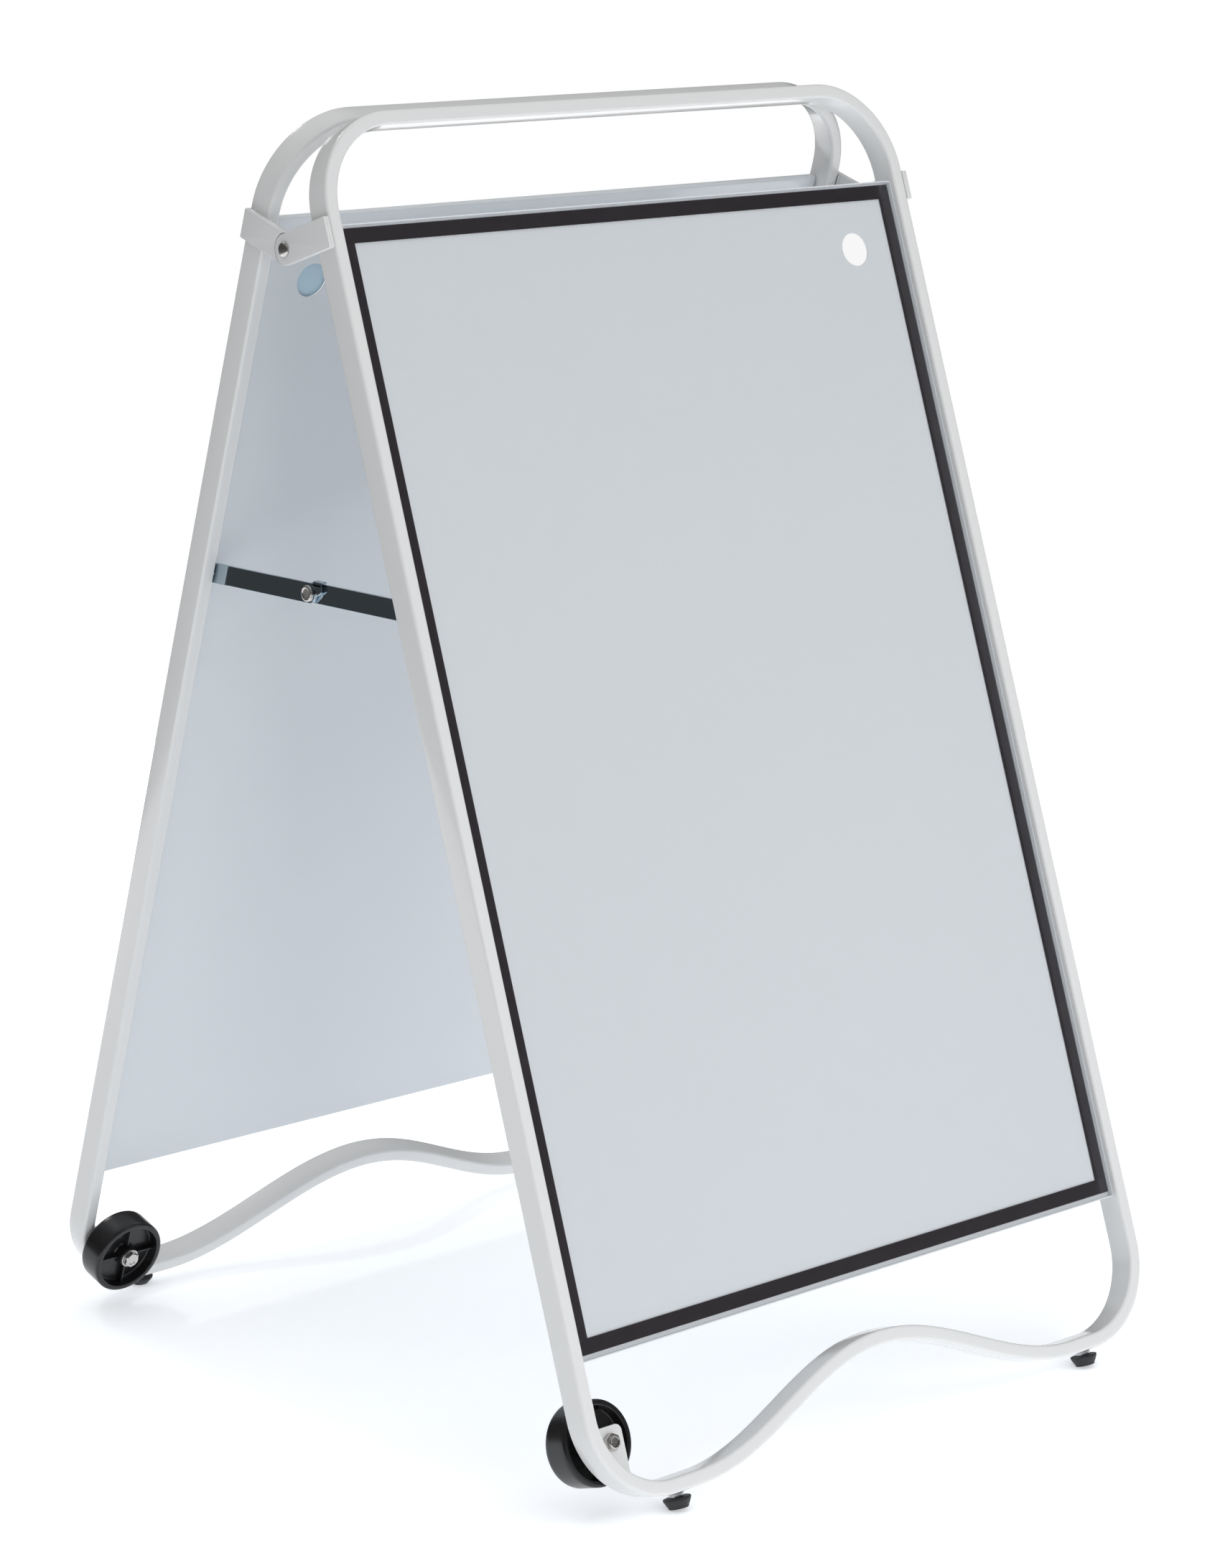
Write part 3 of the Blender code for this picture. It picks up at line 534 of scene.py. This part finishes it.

# %% [markdown]
# ## The covers
# The clear sheet is thin plastic, so it is never quite flat: a slow ripple bends what it reflects. Behind
# its edge sit four magnet strips. The top and bottom ones run the full width and the upright ones butt
# against them, with a hairline between. A pale blue disc in the rear finger hole is painted shade: it
# stands for the bluish backdrop, in shadow, seen through the hole.


# %% Sheet, strips and the painted backdrop disc
COVER_HALF, COVER_HALF_HEIGHT, COVER_MIDDLE = 310.6, 461.5, 555.8
STRIP_HALF, HAIRLINE = 6.35, 0.08
SHEET_DEPTHS, STRIP_DEPTHS, BACKDROP_DISC_DEPTHS = (8.5, 8.9), (9.2, 10.1), (9.0, 9.3)


def in_plane(side):
    """Place (x, drop, depth) for plates that lie in the frame's own plane."""
    return lambda x, drop, depth: stand(side, x, depth, drop)


def strips(side):
    """Four slabs of magnet strip: two level ones at the cover's ends and two upright ones between them."""
    end, edge = COVER_HALF_HEIGHT - STRIP_HALF, COVER_HALF - STRIP_HALF
    level, upright = (COVER_HALF, STRIP_HALF), (STRIP_HALF, end - STRIP_HALF - HAIRLINE)
    skin = Skin()
    places = ((level, 0, -end), (level, 0, end), (upright, -edge, 0), (upright, edge, 0))
    for (half_x, half_drop), x, down in places:
        outline = round_box(half_x, half_drop, 0.4, 3, (x, COVER_MIDDLE + down))
        skin.join(slab(in_plane(side), outline, *STRIP_DEPTHS, 0.18))
    return skin


for name, side in SIDES.items():
    sheet_edge = round_box(COVER_HALF, COVER_HALF_HEIGHT, 3.0, 6, (0, COVER_MIDDLE))
    slab(in_plane(side), sheet_edge, *SHEET_DEPTHS, 0.08).make(
        f"{name}_clear_sheet", f"{name}_cover", "clear_sheet", clear, [f"{name}_cover_sheet"])
    strips(side).make(
        f"{name}_magnet_strips", f"{name}_cover", "magnet_black", strip, [f"{name}_cover_border"])
# A disc in the rear finger hole, coloured as painted shade: the bluish, shaded backdrop seen through the
# hole.
backdrop_disc_edge = arc(-HOLE_X, HOLE_DROP, HOLE_RADIUS + 0.6, 0, 360, 48)[:-1]
slab(in_plane(SIDES["rear"]), backdrop_disc_edge, *BACKDROP_DISC_DEPTHS, 0.1).make(
    "rear_hole_painted_backdrop", "rear_cover", "clear_sheet", film)

# %% [markdown]
# ## The hinge
# A wing is a thick plate welded to the side of each tube. The two wings meet in a half lap under a
# domed bolt, so each wing is full thickness up to the lap and half thickness round the bolt. It is made of
# two slabs: one half has the round end, the other stops short of it. They overlap by a hair, so that no two
# faces lie in one plane.


# %% Wings
WING_NEAR, WING_FAR, WING_END = 325.3, 330.4, 13.0
LAP_MIDDLE, LAP_GAP, OVERLAP = 327.85, 0.15, 0.02


def across(side, sign):
    """Place (depth, drop, x) for plates that lie against the tube's side."""
    return lambda depth, drop, x: stand(side, sign * x, depth, drop)


def wing_outlines():
    """Long outline with a round end at the hinge, and a short one that stops where the lap begins."""
    round_end = arc(PIVOT_DEPTH, PIVOT_DROP, WING_END, -90, 90, 24)
    free_end = np.array([[1.6, 110.5], [0.9, 110.2], [0.5, 109.4], [0.5, 85.6], [0.9, 84.8], [1.6, 84.5]])
    bite = arc(PIVOT_DEPTH, PIVOT_DROP, WING_END + 0.9, 249.3, 110.7, 24)
    return np.concatenate([round_end, free_end]), np.concatenate([bite, free_end])


def weld(side, sign, depth, x, start, end, radius, ripple=0.12, pitch=1.8):
    """A rippled bead: radius (1 + ripple sin(2 pi s / pitch)) round a straight line along the drop."""
    s = np.linspace(start, end, 60)
    taper = np.clip(np.minimum(s - start, end - s) / 2.0, 0.0, 1.0) ** 0.5
    wide = radius * (1 + ripple * np.sin(2 * math.pi * s / pitch)) * taper
    t = np.linspace(0, 2 * math.pi, 12, endpoint=False)
    ring_depth = depth + wide[:, None] * np.cos(t)
    ring_x = x + 0.8 * wide[:, None] * np.sin(t)
    return Skin().grid(stand(side, sign * ring_x, ring_depth, s[:, None]))


long_wing, short_wing = wing_outlines()
for name, side in SIDES.items():
    lap_face = LAP_MIDDLE + side * LAP_GAP
    lap = (lap_face, WING_FAR) if side > 0 else (WING_NEAR, lap_face)
    rest = (WING_NEAR, lap_face + OVERLAP) if side > 0 else (lap_face - OVERLAP, WING_FAR)
    for hand, sign in (("left", -1), ("right", 1)):
        place = across(side, sign)
        wing = slab(place, long_wing, *lap, 0.5, [(PIVOT_DEPTH, PIVOT_DROP, 4.1)])
        wing.join(slab(place, short_wing, *rest, 0.5)).make(
            f"{name}_wing_{hand}", f"{name}_frame", "white_paint", powder, [f"{name}_hinge_{hand}"])
        weld(side, sign, 26.2, 325.0, 85.5, 109.5, 1.3).make(
            f"{name}_wing_weld_{hand}", f"{name}_frame", "white_paint", powder)
print("wings:", len(long_wing), "points round each")

# %% [markdown]
# ## Turned fasteners
# Bolts, nuts, washers, sleeves and rivets are turned: a profile spun about its axis. A hexagon is the same
# spin with the radius capped by angle, and its chamfer is the profile's own slope under that cap.


# %% Spin a profile in place
WHEEL_X, WHEEL_DROP = -292.5, 1089.7
DOME_RADIUS, DOME_BASE, DOME_RISE = 6.2, 331.5, 2.3
NUT_BORE = 4.08


def spin(points_at, profile, steps=48, limit=None, closed=False):
    """A turned grid, carried to its place by points_at(a, b, along)."""
    a, b, along = turn(profile, steps, limit)
    return Skin().grid(points_at(a, b, along), wrap_rows=closed)


def about_x(sign, y, z):
    """Axis along world x through (y, z) in millimetres; along is measured from the middle outwards."""
    return lambda a, b, along: np.stack([sign * along, y + a, z + b], -1) / 1000


def about_axle(side):
    """Axis through a wheel's centre; along is measured as depth."""
    return lambda a, b, along: stand(side, WHEEL_X + a, along, WHEEL_DROP + b)


for hand, sign in (("left", -1), ("right", 1)):
    axis = about_x(sign, 0.0, pivot_height)
    dome = [(DOME_RADIUS * math.sin(t), DOME_BASE + DOME_RISE * math.cos(t))
            for t in np.radians([90, 80, 70, 58, 46, 34, 22, 11, 0])]
    shank = [(0, 318.5), (3.4, 318.5), (4.0, 319.1), (4.0, 330.7), (DOME_RADIUS - 0.4, 330.7),
             (DOME_RADIUS, 331.0)]
    spin(axis, shank + dome).make(
        f"hinge_dome_bolt_{hand}", "front_frame", "bright_steel", nickel, [f"hinge_bolt_{hand}"])
    nut = [(NUT_BORE, 319.0), (6.3, 319.0), (7.6, 319.8), (7.6, 324.2), (6.3, 325.0), (NUT_BORE, 325.0)]
    spin(axis, nut, 96, HEXAGON, closed=True).make(
        f"hinge_hex_nut_{hand}", "front_frame", "bright_steel", nickel, [f"hinge_nut_{hand}"])

# %% Axle hardware
BORE = 3.98
for name, side in SIDES.items():
    axle, body = about_axle(side), f"{name}_frame"
    head = [(0, 60.6), (3.6, 60.6), (4.2, 61.2), (6.2, 61.2), (7.6, 60.4), (7.6, 57.6), (3.9, 57.6),
            (3.9, 10.2), (3.5, 9.8), (0, 9.8)]
    spin(axle, head, 96, HEXAGON).make(
        f"{name}_hex_bolt", body, "bright_steel", nickel, [f"{name}_axle_bolt"])
    washer = [(BORE, 56.3), (8.4, 56.3), (8.6, 56.5), (8.6, 57.1), (8.4, 57.3), (BORE, 57.3)]
    spin(axle, washer, 64, closed=True).make(
        f"{name}_washer", body, "bright_steel", nickel, [f"{name}_axle_washer"])
    sleeve = [(BORE, 19.3), (6.8, 19.3), (7.0, 19.5), (7.0, 30.0), (6.8, 30.2), (BORE, 30.2)]
    spin(axle, sleeve, 48, closed=True).make(
        f"{name}_sleeve", body, "light_metal", plain_zinc, [f"{name}_axle_sleeve"])
    nut = [(BORE, 15.7), (6.4, 15.7), (7.6, 15.0), (7.6, 11.4), (6.9, 10.7)]
    collar = [(5.95, 10.6), (5.85, 9.6), (5.2, 8.9), (4.5, 8.7), (BORE, 8.9)]
    spin(axle, nut + collar, 96, HEXAGON, closed=True).make(
        f"{name}_locking_nut", body, "bright_steel", nickel, [f"{name}_axle_nut"])

# %% [markdown]
# ## Wheels
# A moulded nylon wheel: a rim with soft shoulders, a thin web half way across, a hub, and ribs on both
# sides that stop short of the rim's face. The round part is one turned profile. The ribs are rounded bars
# that run from the hub into the rim, and two square pads stand on each side of the web, so the wheel reads
# as one moulding.


# %% Turn the wheel and set its ribs
MIDDLE = 43.25
RIB_ANGLES = [k * math.pi / 2 for k in range(4)]
PAD_CENTRES = ((8.3, -18.2), (-18.2, 8.3))


def wheel_profile():
    """Half profile from bore to tread, mirrored about the middle depth. Draft widens each pocket outwards."""
    hub = [(BORE, 12.55), (4.3, 12.75), (8.6, 12.75), (9.0, 12.35), (9.5, 3.4)]
    web = [(10.6, 2.5), (28.0, 2.5), (29.1, 3.3)]
    lip = arc(30.6, 11.85, 0.9, 180, 90, 4).tolist() + [(32.2, 12.75)]
    shoulder = arc(32.5, 10.25, 2.5, 90, 5, 7).tolist() + [(35.0, 6.5)]
    half = hub + web + lip + shoulder
    return [(r, MIDDLE + z) for r, z in half] + [(r, MIDDLE - z) for r, z in reversed(half)]


def on_wheel(side, a, b, depth):
    """Place (a, b) about the axle, a along x and b down the frame."""
    return stand(side, WHEEL_X + a, depth, WHEEL_DROP + b)


def rib(side, angle, face):
    """A bar 2.2 wide along the radius, its top edge rounded, from the web to 4.6 mm under the rim's face."""
    length = np.linspace(8.7, 30.0, 8)
    section = np.array([[-1.1, 2.1], [-1.0, 7.4], [-0.65, 8.0], [0, 8.15],
                        [0.65, 8.0], [1.0, 7.4], [1.1, 2.1]])
    radial = np.repeat(length[:, None], len(section), 1)
    aside = np.repeat(section[None, :, 0], len(length), 0)
    depth = MIDDLE + face * np.repeat(section[None, :, 1], len(length), 0)
    bar = on_wheel(side, radial * math.cos(angle) - aside * math.sin(angle),
                   radial * math.sin(angle) + aside * math.cos(angle), depth)
    middle = bar.mean(1, keepdims=True)
    ends = [np.repeat(middle[[k]], len(section), 1) for k in (0, -1)]
    return np.concatenate([ends[0], bar, ends[1]])


def pad(side, centre, face):
    """A shallow square block on the web, 14 across, as a stack of squares with its top drawn in."""
    rings = []
    for half, height in ((7.1, 2.3), (6.9, 4.6), (6.5, 5.0)):
        square = round_box(half, half, 0.8, 3, centre)
        rings.append(on_wheel(side, square[:, 0], square[:, 1], MIDDLE + face * height))
    bottom, top = [np.repeat(rings[k].mean(0, keepdims=True), len(rings[k]), 0) for k in (0, -1)]
    return np.stack([bottom] + rings + [top])


for name, side in SIDES.items():
    wheel = spin(about_axle(side), wheel_profile(), 96, closed=True)
    for face in (-1, 1):
        for angle in RIB_ANGLES:
            wheel.grid(rib(side, angle, face))
        for centre in PAD_CENTRES:
            wheel.grid(pad(side, centre, face))
    wheel.make(f"{name}_moulded_wheel", f"{name}_wheel", "wheel_black", nylon, [f"{name}_wheel"])

# %% [markdown]
# ## The plate that carries the wheel
# A small plate closes the low corner. Its outer edge follows the inside of the bend, its free corner is
# cut off and rounded, and the axle goes through it.


# %% Corner plate
PLATE_BEND, PLATE_UP, PLATE_ASIDE, PLATE_CORNER = 64.7, 12.7, 14.5, 6.0
PLATE_DEPTHS = (16.0, 19.0)


def plate_outline():
    """An arc just inside the tube's low bend, then up the free edge, round the free corner, and back."""
    top, right = WHEEL_DROP - PLATE_UP, WHEEL_X + PLATE_ASIDE
    start = 180 - math.degrees(math.asin((top - LOW_DROP) / PLATE_BEND))
    end = 90 + math.degrees(math.asin((-LOW_X - right) / PLATE_BEND))
    return np.concatenate([arc(-LOW_X, LOW_DROP, PLATE_BEND, start, end, 24),
                           arc(right - PLATE_CORNER, top + PLATE_CORNER, PLATE_CORNER, 0, -90, 8)])


for name, side in SIDES.items():
    slab(in_plane(side), plate_outline(), *PLATE_DEPTHS, 0.45, [(WHEEL_X, WHEEL_DROP, 4.0)], 0.2).make(
        f"{name}_corner_plate", f"{name}_frame", "white_paint", powder, [f"{name}_wheel_plate"])

# %% [markdown]
# ## Feet
# Each foot is a welded boss and a rubber cone that is wide at the top and narrow at the floor. The frame
# leans, so the rubber stands on its lower rim, which has taken a small flat.


# %% Turn the feet
FOOT_X = 240


def about_drop(side, x):
    """Axis down the frame at mid tube. Anything that would pass through the floor is pressed flat on it."""
    def points(a, b, along):
        placed = stand(side, x + a, TUBE_MIDDLE + b, along)
        placed[..., 2] = np.maximum(placed[..., 2], 0.0)
        return placed
    return points


boss = [(0, 1142.75), (7.3, 1142.75), (7.2, 1143.3), (6.7, 1143.9), (6.4, 1144.6), (6.4, 1146.9),
        (6.1, 1147.2), (0, 1147.2)]
foot = [(0, 1148.6), (5.2, 1148.6), (5.8, 1148.2), (6.0, 1147.7), (6.3, 1147.5), (10.9, 1147.5),
        (11.5, 1147.75), (11.7, 1148.3), (11.65, 1149.2), (11.2, 1150.2), (9.5, 1153.6), (8.75, 1154.6),
        (8.6, 1155.5), (8.4, 1156.1), (7.9, 1156.45), (7.2, 1156.5), (4.6, 1156.5), (4.0, 1156.1),
        (3.6, 1154.0), (0, 1154.0)]
for name, side in SIDES.items():
    for hand, sign in (("left", -1), ("right", 1)):
        spin(about_drop(side, sign * FOOT_X), boss, 40).make(
            f"{name}_welded_boss_{hand}", f"{name}_frame", "light_metal", plain_zinc, [f"{name}_boss_{hand}"])
        spin(about_drop(side, sign * FOOT_X), foot, 64).make(
            f"{name}_rubber_foot_{hand}", f"{name}_frame", "rubber_black", rubber, [f"{name}_foot_{hand}"])

# %% [markdown]
# ## The folding stays
# Two flat bars meet at a pin under the hinge and fold upwards. The rear bar runs on past the pin, and a
# tab on its end bends over the front bar's top edge, so the stay locks straight. They are polished zinc,
# so what they show is mostly what stands beside them. Their flat faces keep flat normals, which a mirror
# finish needs, so only edges under 10 degrees are smoothed.


# %% Bars, stop and rivets
BAR_HALF, BAR_THICK, BAR_GAP = 8.7, 3.0, 0.3
RIVET, RIVET_HOLE = 2.6, 2.68
STAY_DEPTH, STAY_DROP = 20.7, 411.0
TUBE_FACE = 312.3
OUTER = TUBE_FACE - 2 * BAR_GAP
PLANES = {"rear": OUTER, "front": OUTER - BAR_THICK - BAR_GAP}


def stay_end(side):
    """World (y, z) in millimetres of the rivet that fixes a stay to its tube."""
    point = stand(side, 0.0, STAY_DEPTH, STAY_DROP) * 1000
    return float(point[1]), float(point[2])


def bar_outline(length, stop):
    """Round end at the tube; at the pin a full round, or a quarter round that runs on to a square stop."""
    tube_end = arc(0, 0, BAR_HALF, 90, 270, 20)
    if not stop:
        return np.concatenate([tube_end, arc(length, 0, BAR_HALF, -90, 90, 20)])
    tail = np.array([[15.9, 1.5], [16.5, 2.4], [16.5, 8.2], [16.0, BAR_HALF]]) + [length, 0]
    return np.concatenate([tube_end, arc(length, 0, BAR_HALF, -90, -18, 10), tail])


def bar_place(sign, y, z, towards):
    """Place (along, up, x) in world metres: along runs from the tube towards the pin."""
    def points(along, up, x):
        return np.stack(np.broadcast_arrays(sign * x, y + towards * along, z + up), -1) / 1000
    return points


def stop_tab(place, length, near, far):
    """A sheet bent over the bar's top edge, as rings from one end to the other, the end rings drawn in."""
    bend = np.concatenate([arc(far - 2.0, 8.8, 2.0, 0, 90, 6),
                           [[near - 2.6, 10.8], [near - 3.0, 10.4], [near - 3.0, 9.4], [near - 2.6, 9.0]],
                           [[near + 0.2, 9.0], [near + 0.2, 7.0], [far, 7.0]]])
    ring_x, ring_up = bend.T
    steps = length + np.array([5.0, 5.3, 16.2, 16.5])
    shrink = np.array([0.85, 1.0, 1.0, 0.85])
    x = ring_x.mean() + (ring_x - ring_x.mean()) * shrink[:, None]
    up = ring_up.mean() + (ring_up - ring_up.mean()) * shrink[:, None]
    return place(np.repeat(steps[:, None], len(bend), 1), up, x)


for name, side in SIDES.items():
    y, z = stay_end(side)
    towards, length, far = (1 if y < 0 else -1), abs(y), PLANES[name]
    near = far - BAR_THICK
    for hand, sign in (("left", -1), ("right", 1)):
        place, body = bar_place(sign, y, z, towards), f"{hand}_stay_{name}"
        holes = [(0.0, 0.0, RIVET_HOLE), (length, 0.0, RIVET_HOLE)]
        bar = slab(place, bar_outline(length, name == "rear"), near, far, 0.45, holes)
        if name == "rear":
            tab = stop_tab(place, length, near, far)
            bar.grid(tab).cap(tab[0]).cap(tab[-1])
        bar.make(f"{hand}_{name}_stay", body, "dark_steel", zinc, [f"{body}_bar"], sharp=10)

        rivet = about_x(sign, y, z)
        head = [(0, near - 2.5), (2.2, near - 2.35), (3.9, near - 1.9), (4.9, near - 1.2), (5.2, near - 0.6),
                (5.2, near - BAR_GAP)]
        shank = [(RIVET, near - BAR_GAP), (RIVET, TUBE_FACE + 3.7), (0, TUBE_FACE + 3.7)]
        spin(rivet, head + shank, 40).make(
            f"{hand}_{name}_tube_rivet", f"{name}_frame", "bright_steel", nickel, [f"{body}_rivet"])
        pin = about_x(sign, 0.0, z)
        if name == "rear":
            drum = [(0, near), (RIVET, near), (RIVET, far + BAR_GAP), (6.7, far + BAR_GAP), (7.0, far + 0.6),
                    (7.0, far + 2.7), (6.6, far + 3.35), (5.4, far + 3.7), (4.7, far + 3.5), (4.2, far + 3.0),
                    (0, far + 2.9)]
            spin(pin, drum, 48).make(
                f"{hand}_drum_pin", body, "bright_steel", nickel, [f"{hand}_stay_pin_head"])
        else:
            tail = [(0, near - 2.7), (2.6, near - 2.5), (4.6, near - 1.9), (5.8, near - 0.9),
                    (5.8, near - BAR_GAP), (RIVET, near - BAR_GAP), (RIVET, far), (0, far)]
            spin(pin, tail, 40).make(
                f"{hand}_pin_tail", body, "bright_steel", nickel, [f"{hand}_stay_pin_tail"])
            end = TUBE_FACE - BAR_GAP
            spacer = [(2.9, far + BAR_GAP), (5.3, far + BAR_GAP), (5.5, far + 0.5), (5.5, end - 0.2),
                      (5.3, end), (2.9, end)]
            spin(rivet, spacer, 40, closed=True).make(
                f"{hand}_spacer", "front_frame", "light_metal", plain_zinc, [f"{hand}_stay_spacer"])

# %% [markdown]
# ## Floor, light and camera
# A round white floor runs out under the board. It glows a little, and more towards its rim, where the lamps
# fade. What the camera sees behind it is just as white, so the edge vanishes. For everything else the room
# is bright above and dark round the horizon, and reflections see it dimmer still: white paint needs dark
# surroundings to show its gloss, and polished zinc shows little else. The broad lamps light the paint but
# are hidden from reflections. One narrow lamp is left in them, to draw the crisp highlights.

# %% Floor
FLOOR_RADIUS, GLOW_START, GLOW_END = 2.6, 1.2, 2.2
rim = arc(0, 0, FLOOR_RADIUS, 0, 360, 96)[:-1]
floor_mesh = bpy.data.meshes.new("studio_floor")
floor_mesh.from_pydata([(x, y, 0.0) for x, y in rim.tolist()], [], [list(range(len(rim)))])
floor = bpy.data.objects.new("studio_floor", floor_mesh)
bpy.context.scene.collection.objects.link(floor)
floor_white, floor_tree, floor_shader = finish(
    "Studio white", Base_Color=(0.93, 0.945, 0.97, 1), Roughness=0.7, Specular_IOR_Level=0.1,
    Emission_Strength=1.0)
where = node(floor_tree, "ShaderNodeTexCoord")
reach = node(floor_tree, "ShaderNodeVectorMath", operation="LENGTH")
outwards = node(floor_tree, "ShaderNodeMapRange")
outwards.inputs["From Min"].default_value, outwards.inputs["From Max"].default_value = GLOW_START, GLOW_END
glow = node(floor_tree, "ShaderNodeMix", data_type="RGBA")
glow.inputs[6].default_value, glow.inputs[7].default_value = (0.42, 0.43, 0.44, 1), (1, 1, 1, 1)
floor_tree.links.new(where.outputs["Object"], reach.inputs[0])
floor_tree.links.new(reach.outputs["Value"], outwards.inputs["Value"])
floor_tree.links.new(outwards.outputs["Result"], glow.inputs[0])
floor_tree.links.new(glow.outputs[2], floor_shader.inputs["Emission Color"])
floor_mesh.materials.append(floor_white)
print("floor", 2 * FLOOR_RADIUS, "m across, full glow from", GLOW_END, "m out")

# %% Room
HORIZON, ZENITH, REFLECTED = 0.12, 0.54, 0.6
world = bpy.data.worlds.new("studio")
bpy.context.scene.world = world
world.use_nodes = True
tree = world.node_tree
background = tree.nodes["Background"]
coords = tree.nodes.new("ShaderNodeTexCoord")
parts = tree.nodes.new("ShaderNodeSeparateXYZ")
rise = tree.nodes.new("ShaderNodeMapRange")
rise.interpolation_type = "SMOOTHSTEP"
for label, value in (("From Min", 0.35), ("From Max", 0.90), ("To Min", HORIZON), ("To Max", ZENITH)):
    rise.inputs[label].default_value = value
seen = tree.nodes.new("ShaderNodeLightPath")
level = node(tree, "ShaderNodeMix", data_type="FLOAT")
level.inputs[3].default_value = 1.0
tree.links.new(coords.outputs["Generated"], parts.inputs[0])
tree.links.new(parts.outputs["Z"], rise.inputs["Value"])
tree.links.new(seen.outputs["Is Camera Ray"], level.inputs[0])
dim = node(tree, "ShaderNodeMath", operation="MULTIPLY_ADD")
dim.inputs[1].default_value, dim.inputs[2].default_value = REFLECTED - 1.0, 1.0
shown = node(tree, "ShaderNodeMath", operation="MULTIPLY")
tree.links.new(seen.outputs["Is Glossy Ray"], dim.inputs[0])
tree.links.new(dim.outputs[0], shown.inputs[0])
tree.links.new(rise.outputs["Result"], shown.inputs[1])
tree.links.new(shown.outputs[0], level.inputs[2])
tree.links.new(level.outputs[0], background.inputs["Strength"])
background.inputs["Color"].default_value = (1.0, 1.0, 1.0, 1)
bpy.context.scene.view_settings.view_transform = "Standard"
print("room strength", HORIZON, "at the horizon and", ZENITH, "overhead")


# %% Lamps
def soft_light(name, place, aim, width, height, power, reflected=False):
    """A rectangular lamp in watts, aimed at a point. Reflections see it only if asked."""
    lamp = bpy.data.lights.new(name, "AREA")
    lamp.shape, lamp.size, lamp.size_y = "RECTANGLE", width, height
    lamp.energy = power
    held = bpy.data.objects.new(name, lamp)
    held.location = place
    held.rotation_euler = (Vector(aim) - Vector(place)).to_track_quat("-Z", "Y").to_euler()
    held.visible_glossy = held.visible_transmission = reflected
    bpy.context.scene.collection.objects.link(held)
    print(f"{name}: {power} W over {width * height:.2f} m2")


soft_light("front right", (2.6, -3.4, 2.6), (0, 0, 0.6), 2.6, 2.6, 41)
soft_light("front low", (-0.4, -4.2, 1.0), (0, 0, 0.5), 3.0, 1.6, 55)
soft_light("overhead", (0, 0, 4.0), (0, 0, 0), 5.0, 5.0, 46)
soft_light("left", (-2.2, -0.3, 2.1), (-0.3, 0, 1.0), 1.6, 1.6, 8)
soft_light("narrow back", (-0.18, 2.95, 3.8), (0, 0, 1.0), 0.7, 0.35, 20, reflected=True)

# %% Camera
YAW, PITCH, ROLL = -0.745018, -0.173125, 0.000957
facing = Matrix.Rotation(YAW, 3, "Z") @ Matrix.Rotation(PITCH, 3, "X") @ Matrix.Rotation(ROLL, 3, "Y")
lens = bpy.data.cameras.new("camera")
lens.lens, lens.sensor_width = 99.62, 36.0
lens.shift_x, lens.shift_y = -0.0759, -0.1347
camera = bpy.data.objects.new("camera", lens)
axes = Matrix((facing.col[0], facing.col[2], -facing.col[1])).transposed()
camera.matrix_world = Matrix.Translation((-2.45115, -2.82857, float(top_edge[2]) + 0.23696)) @ axes.to_4x4()
bpy.context.scene.collection.objects.link(camera)
bpy.context.scene.camera = camera
print("camera stands", round(camera.location.length, 2), "m away")
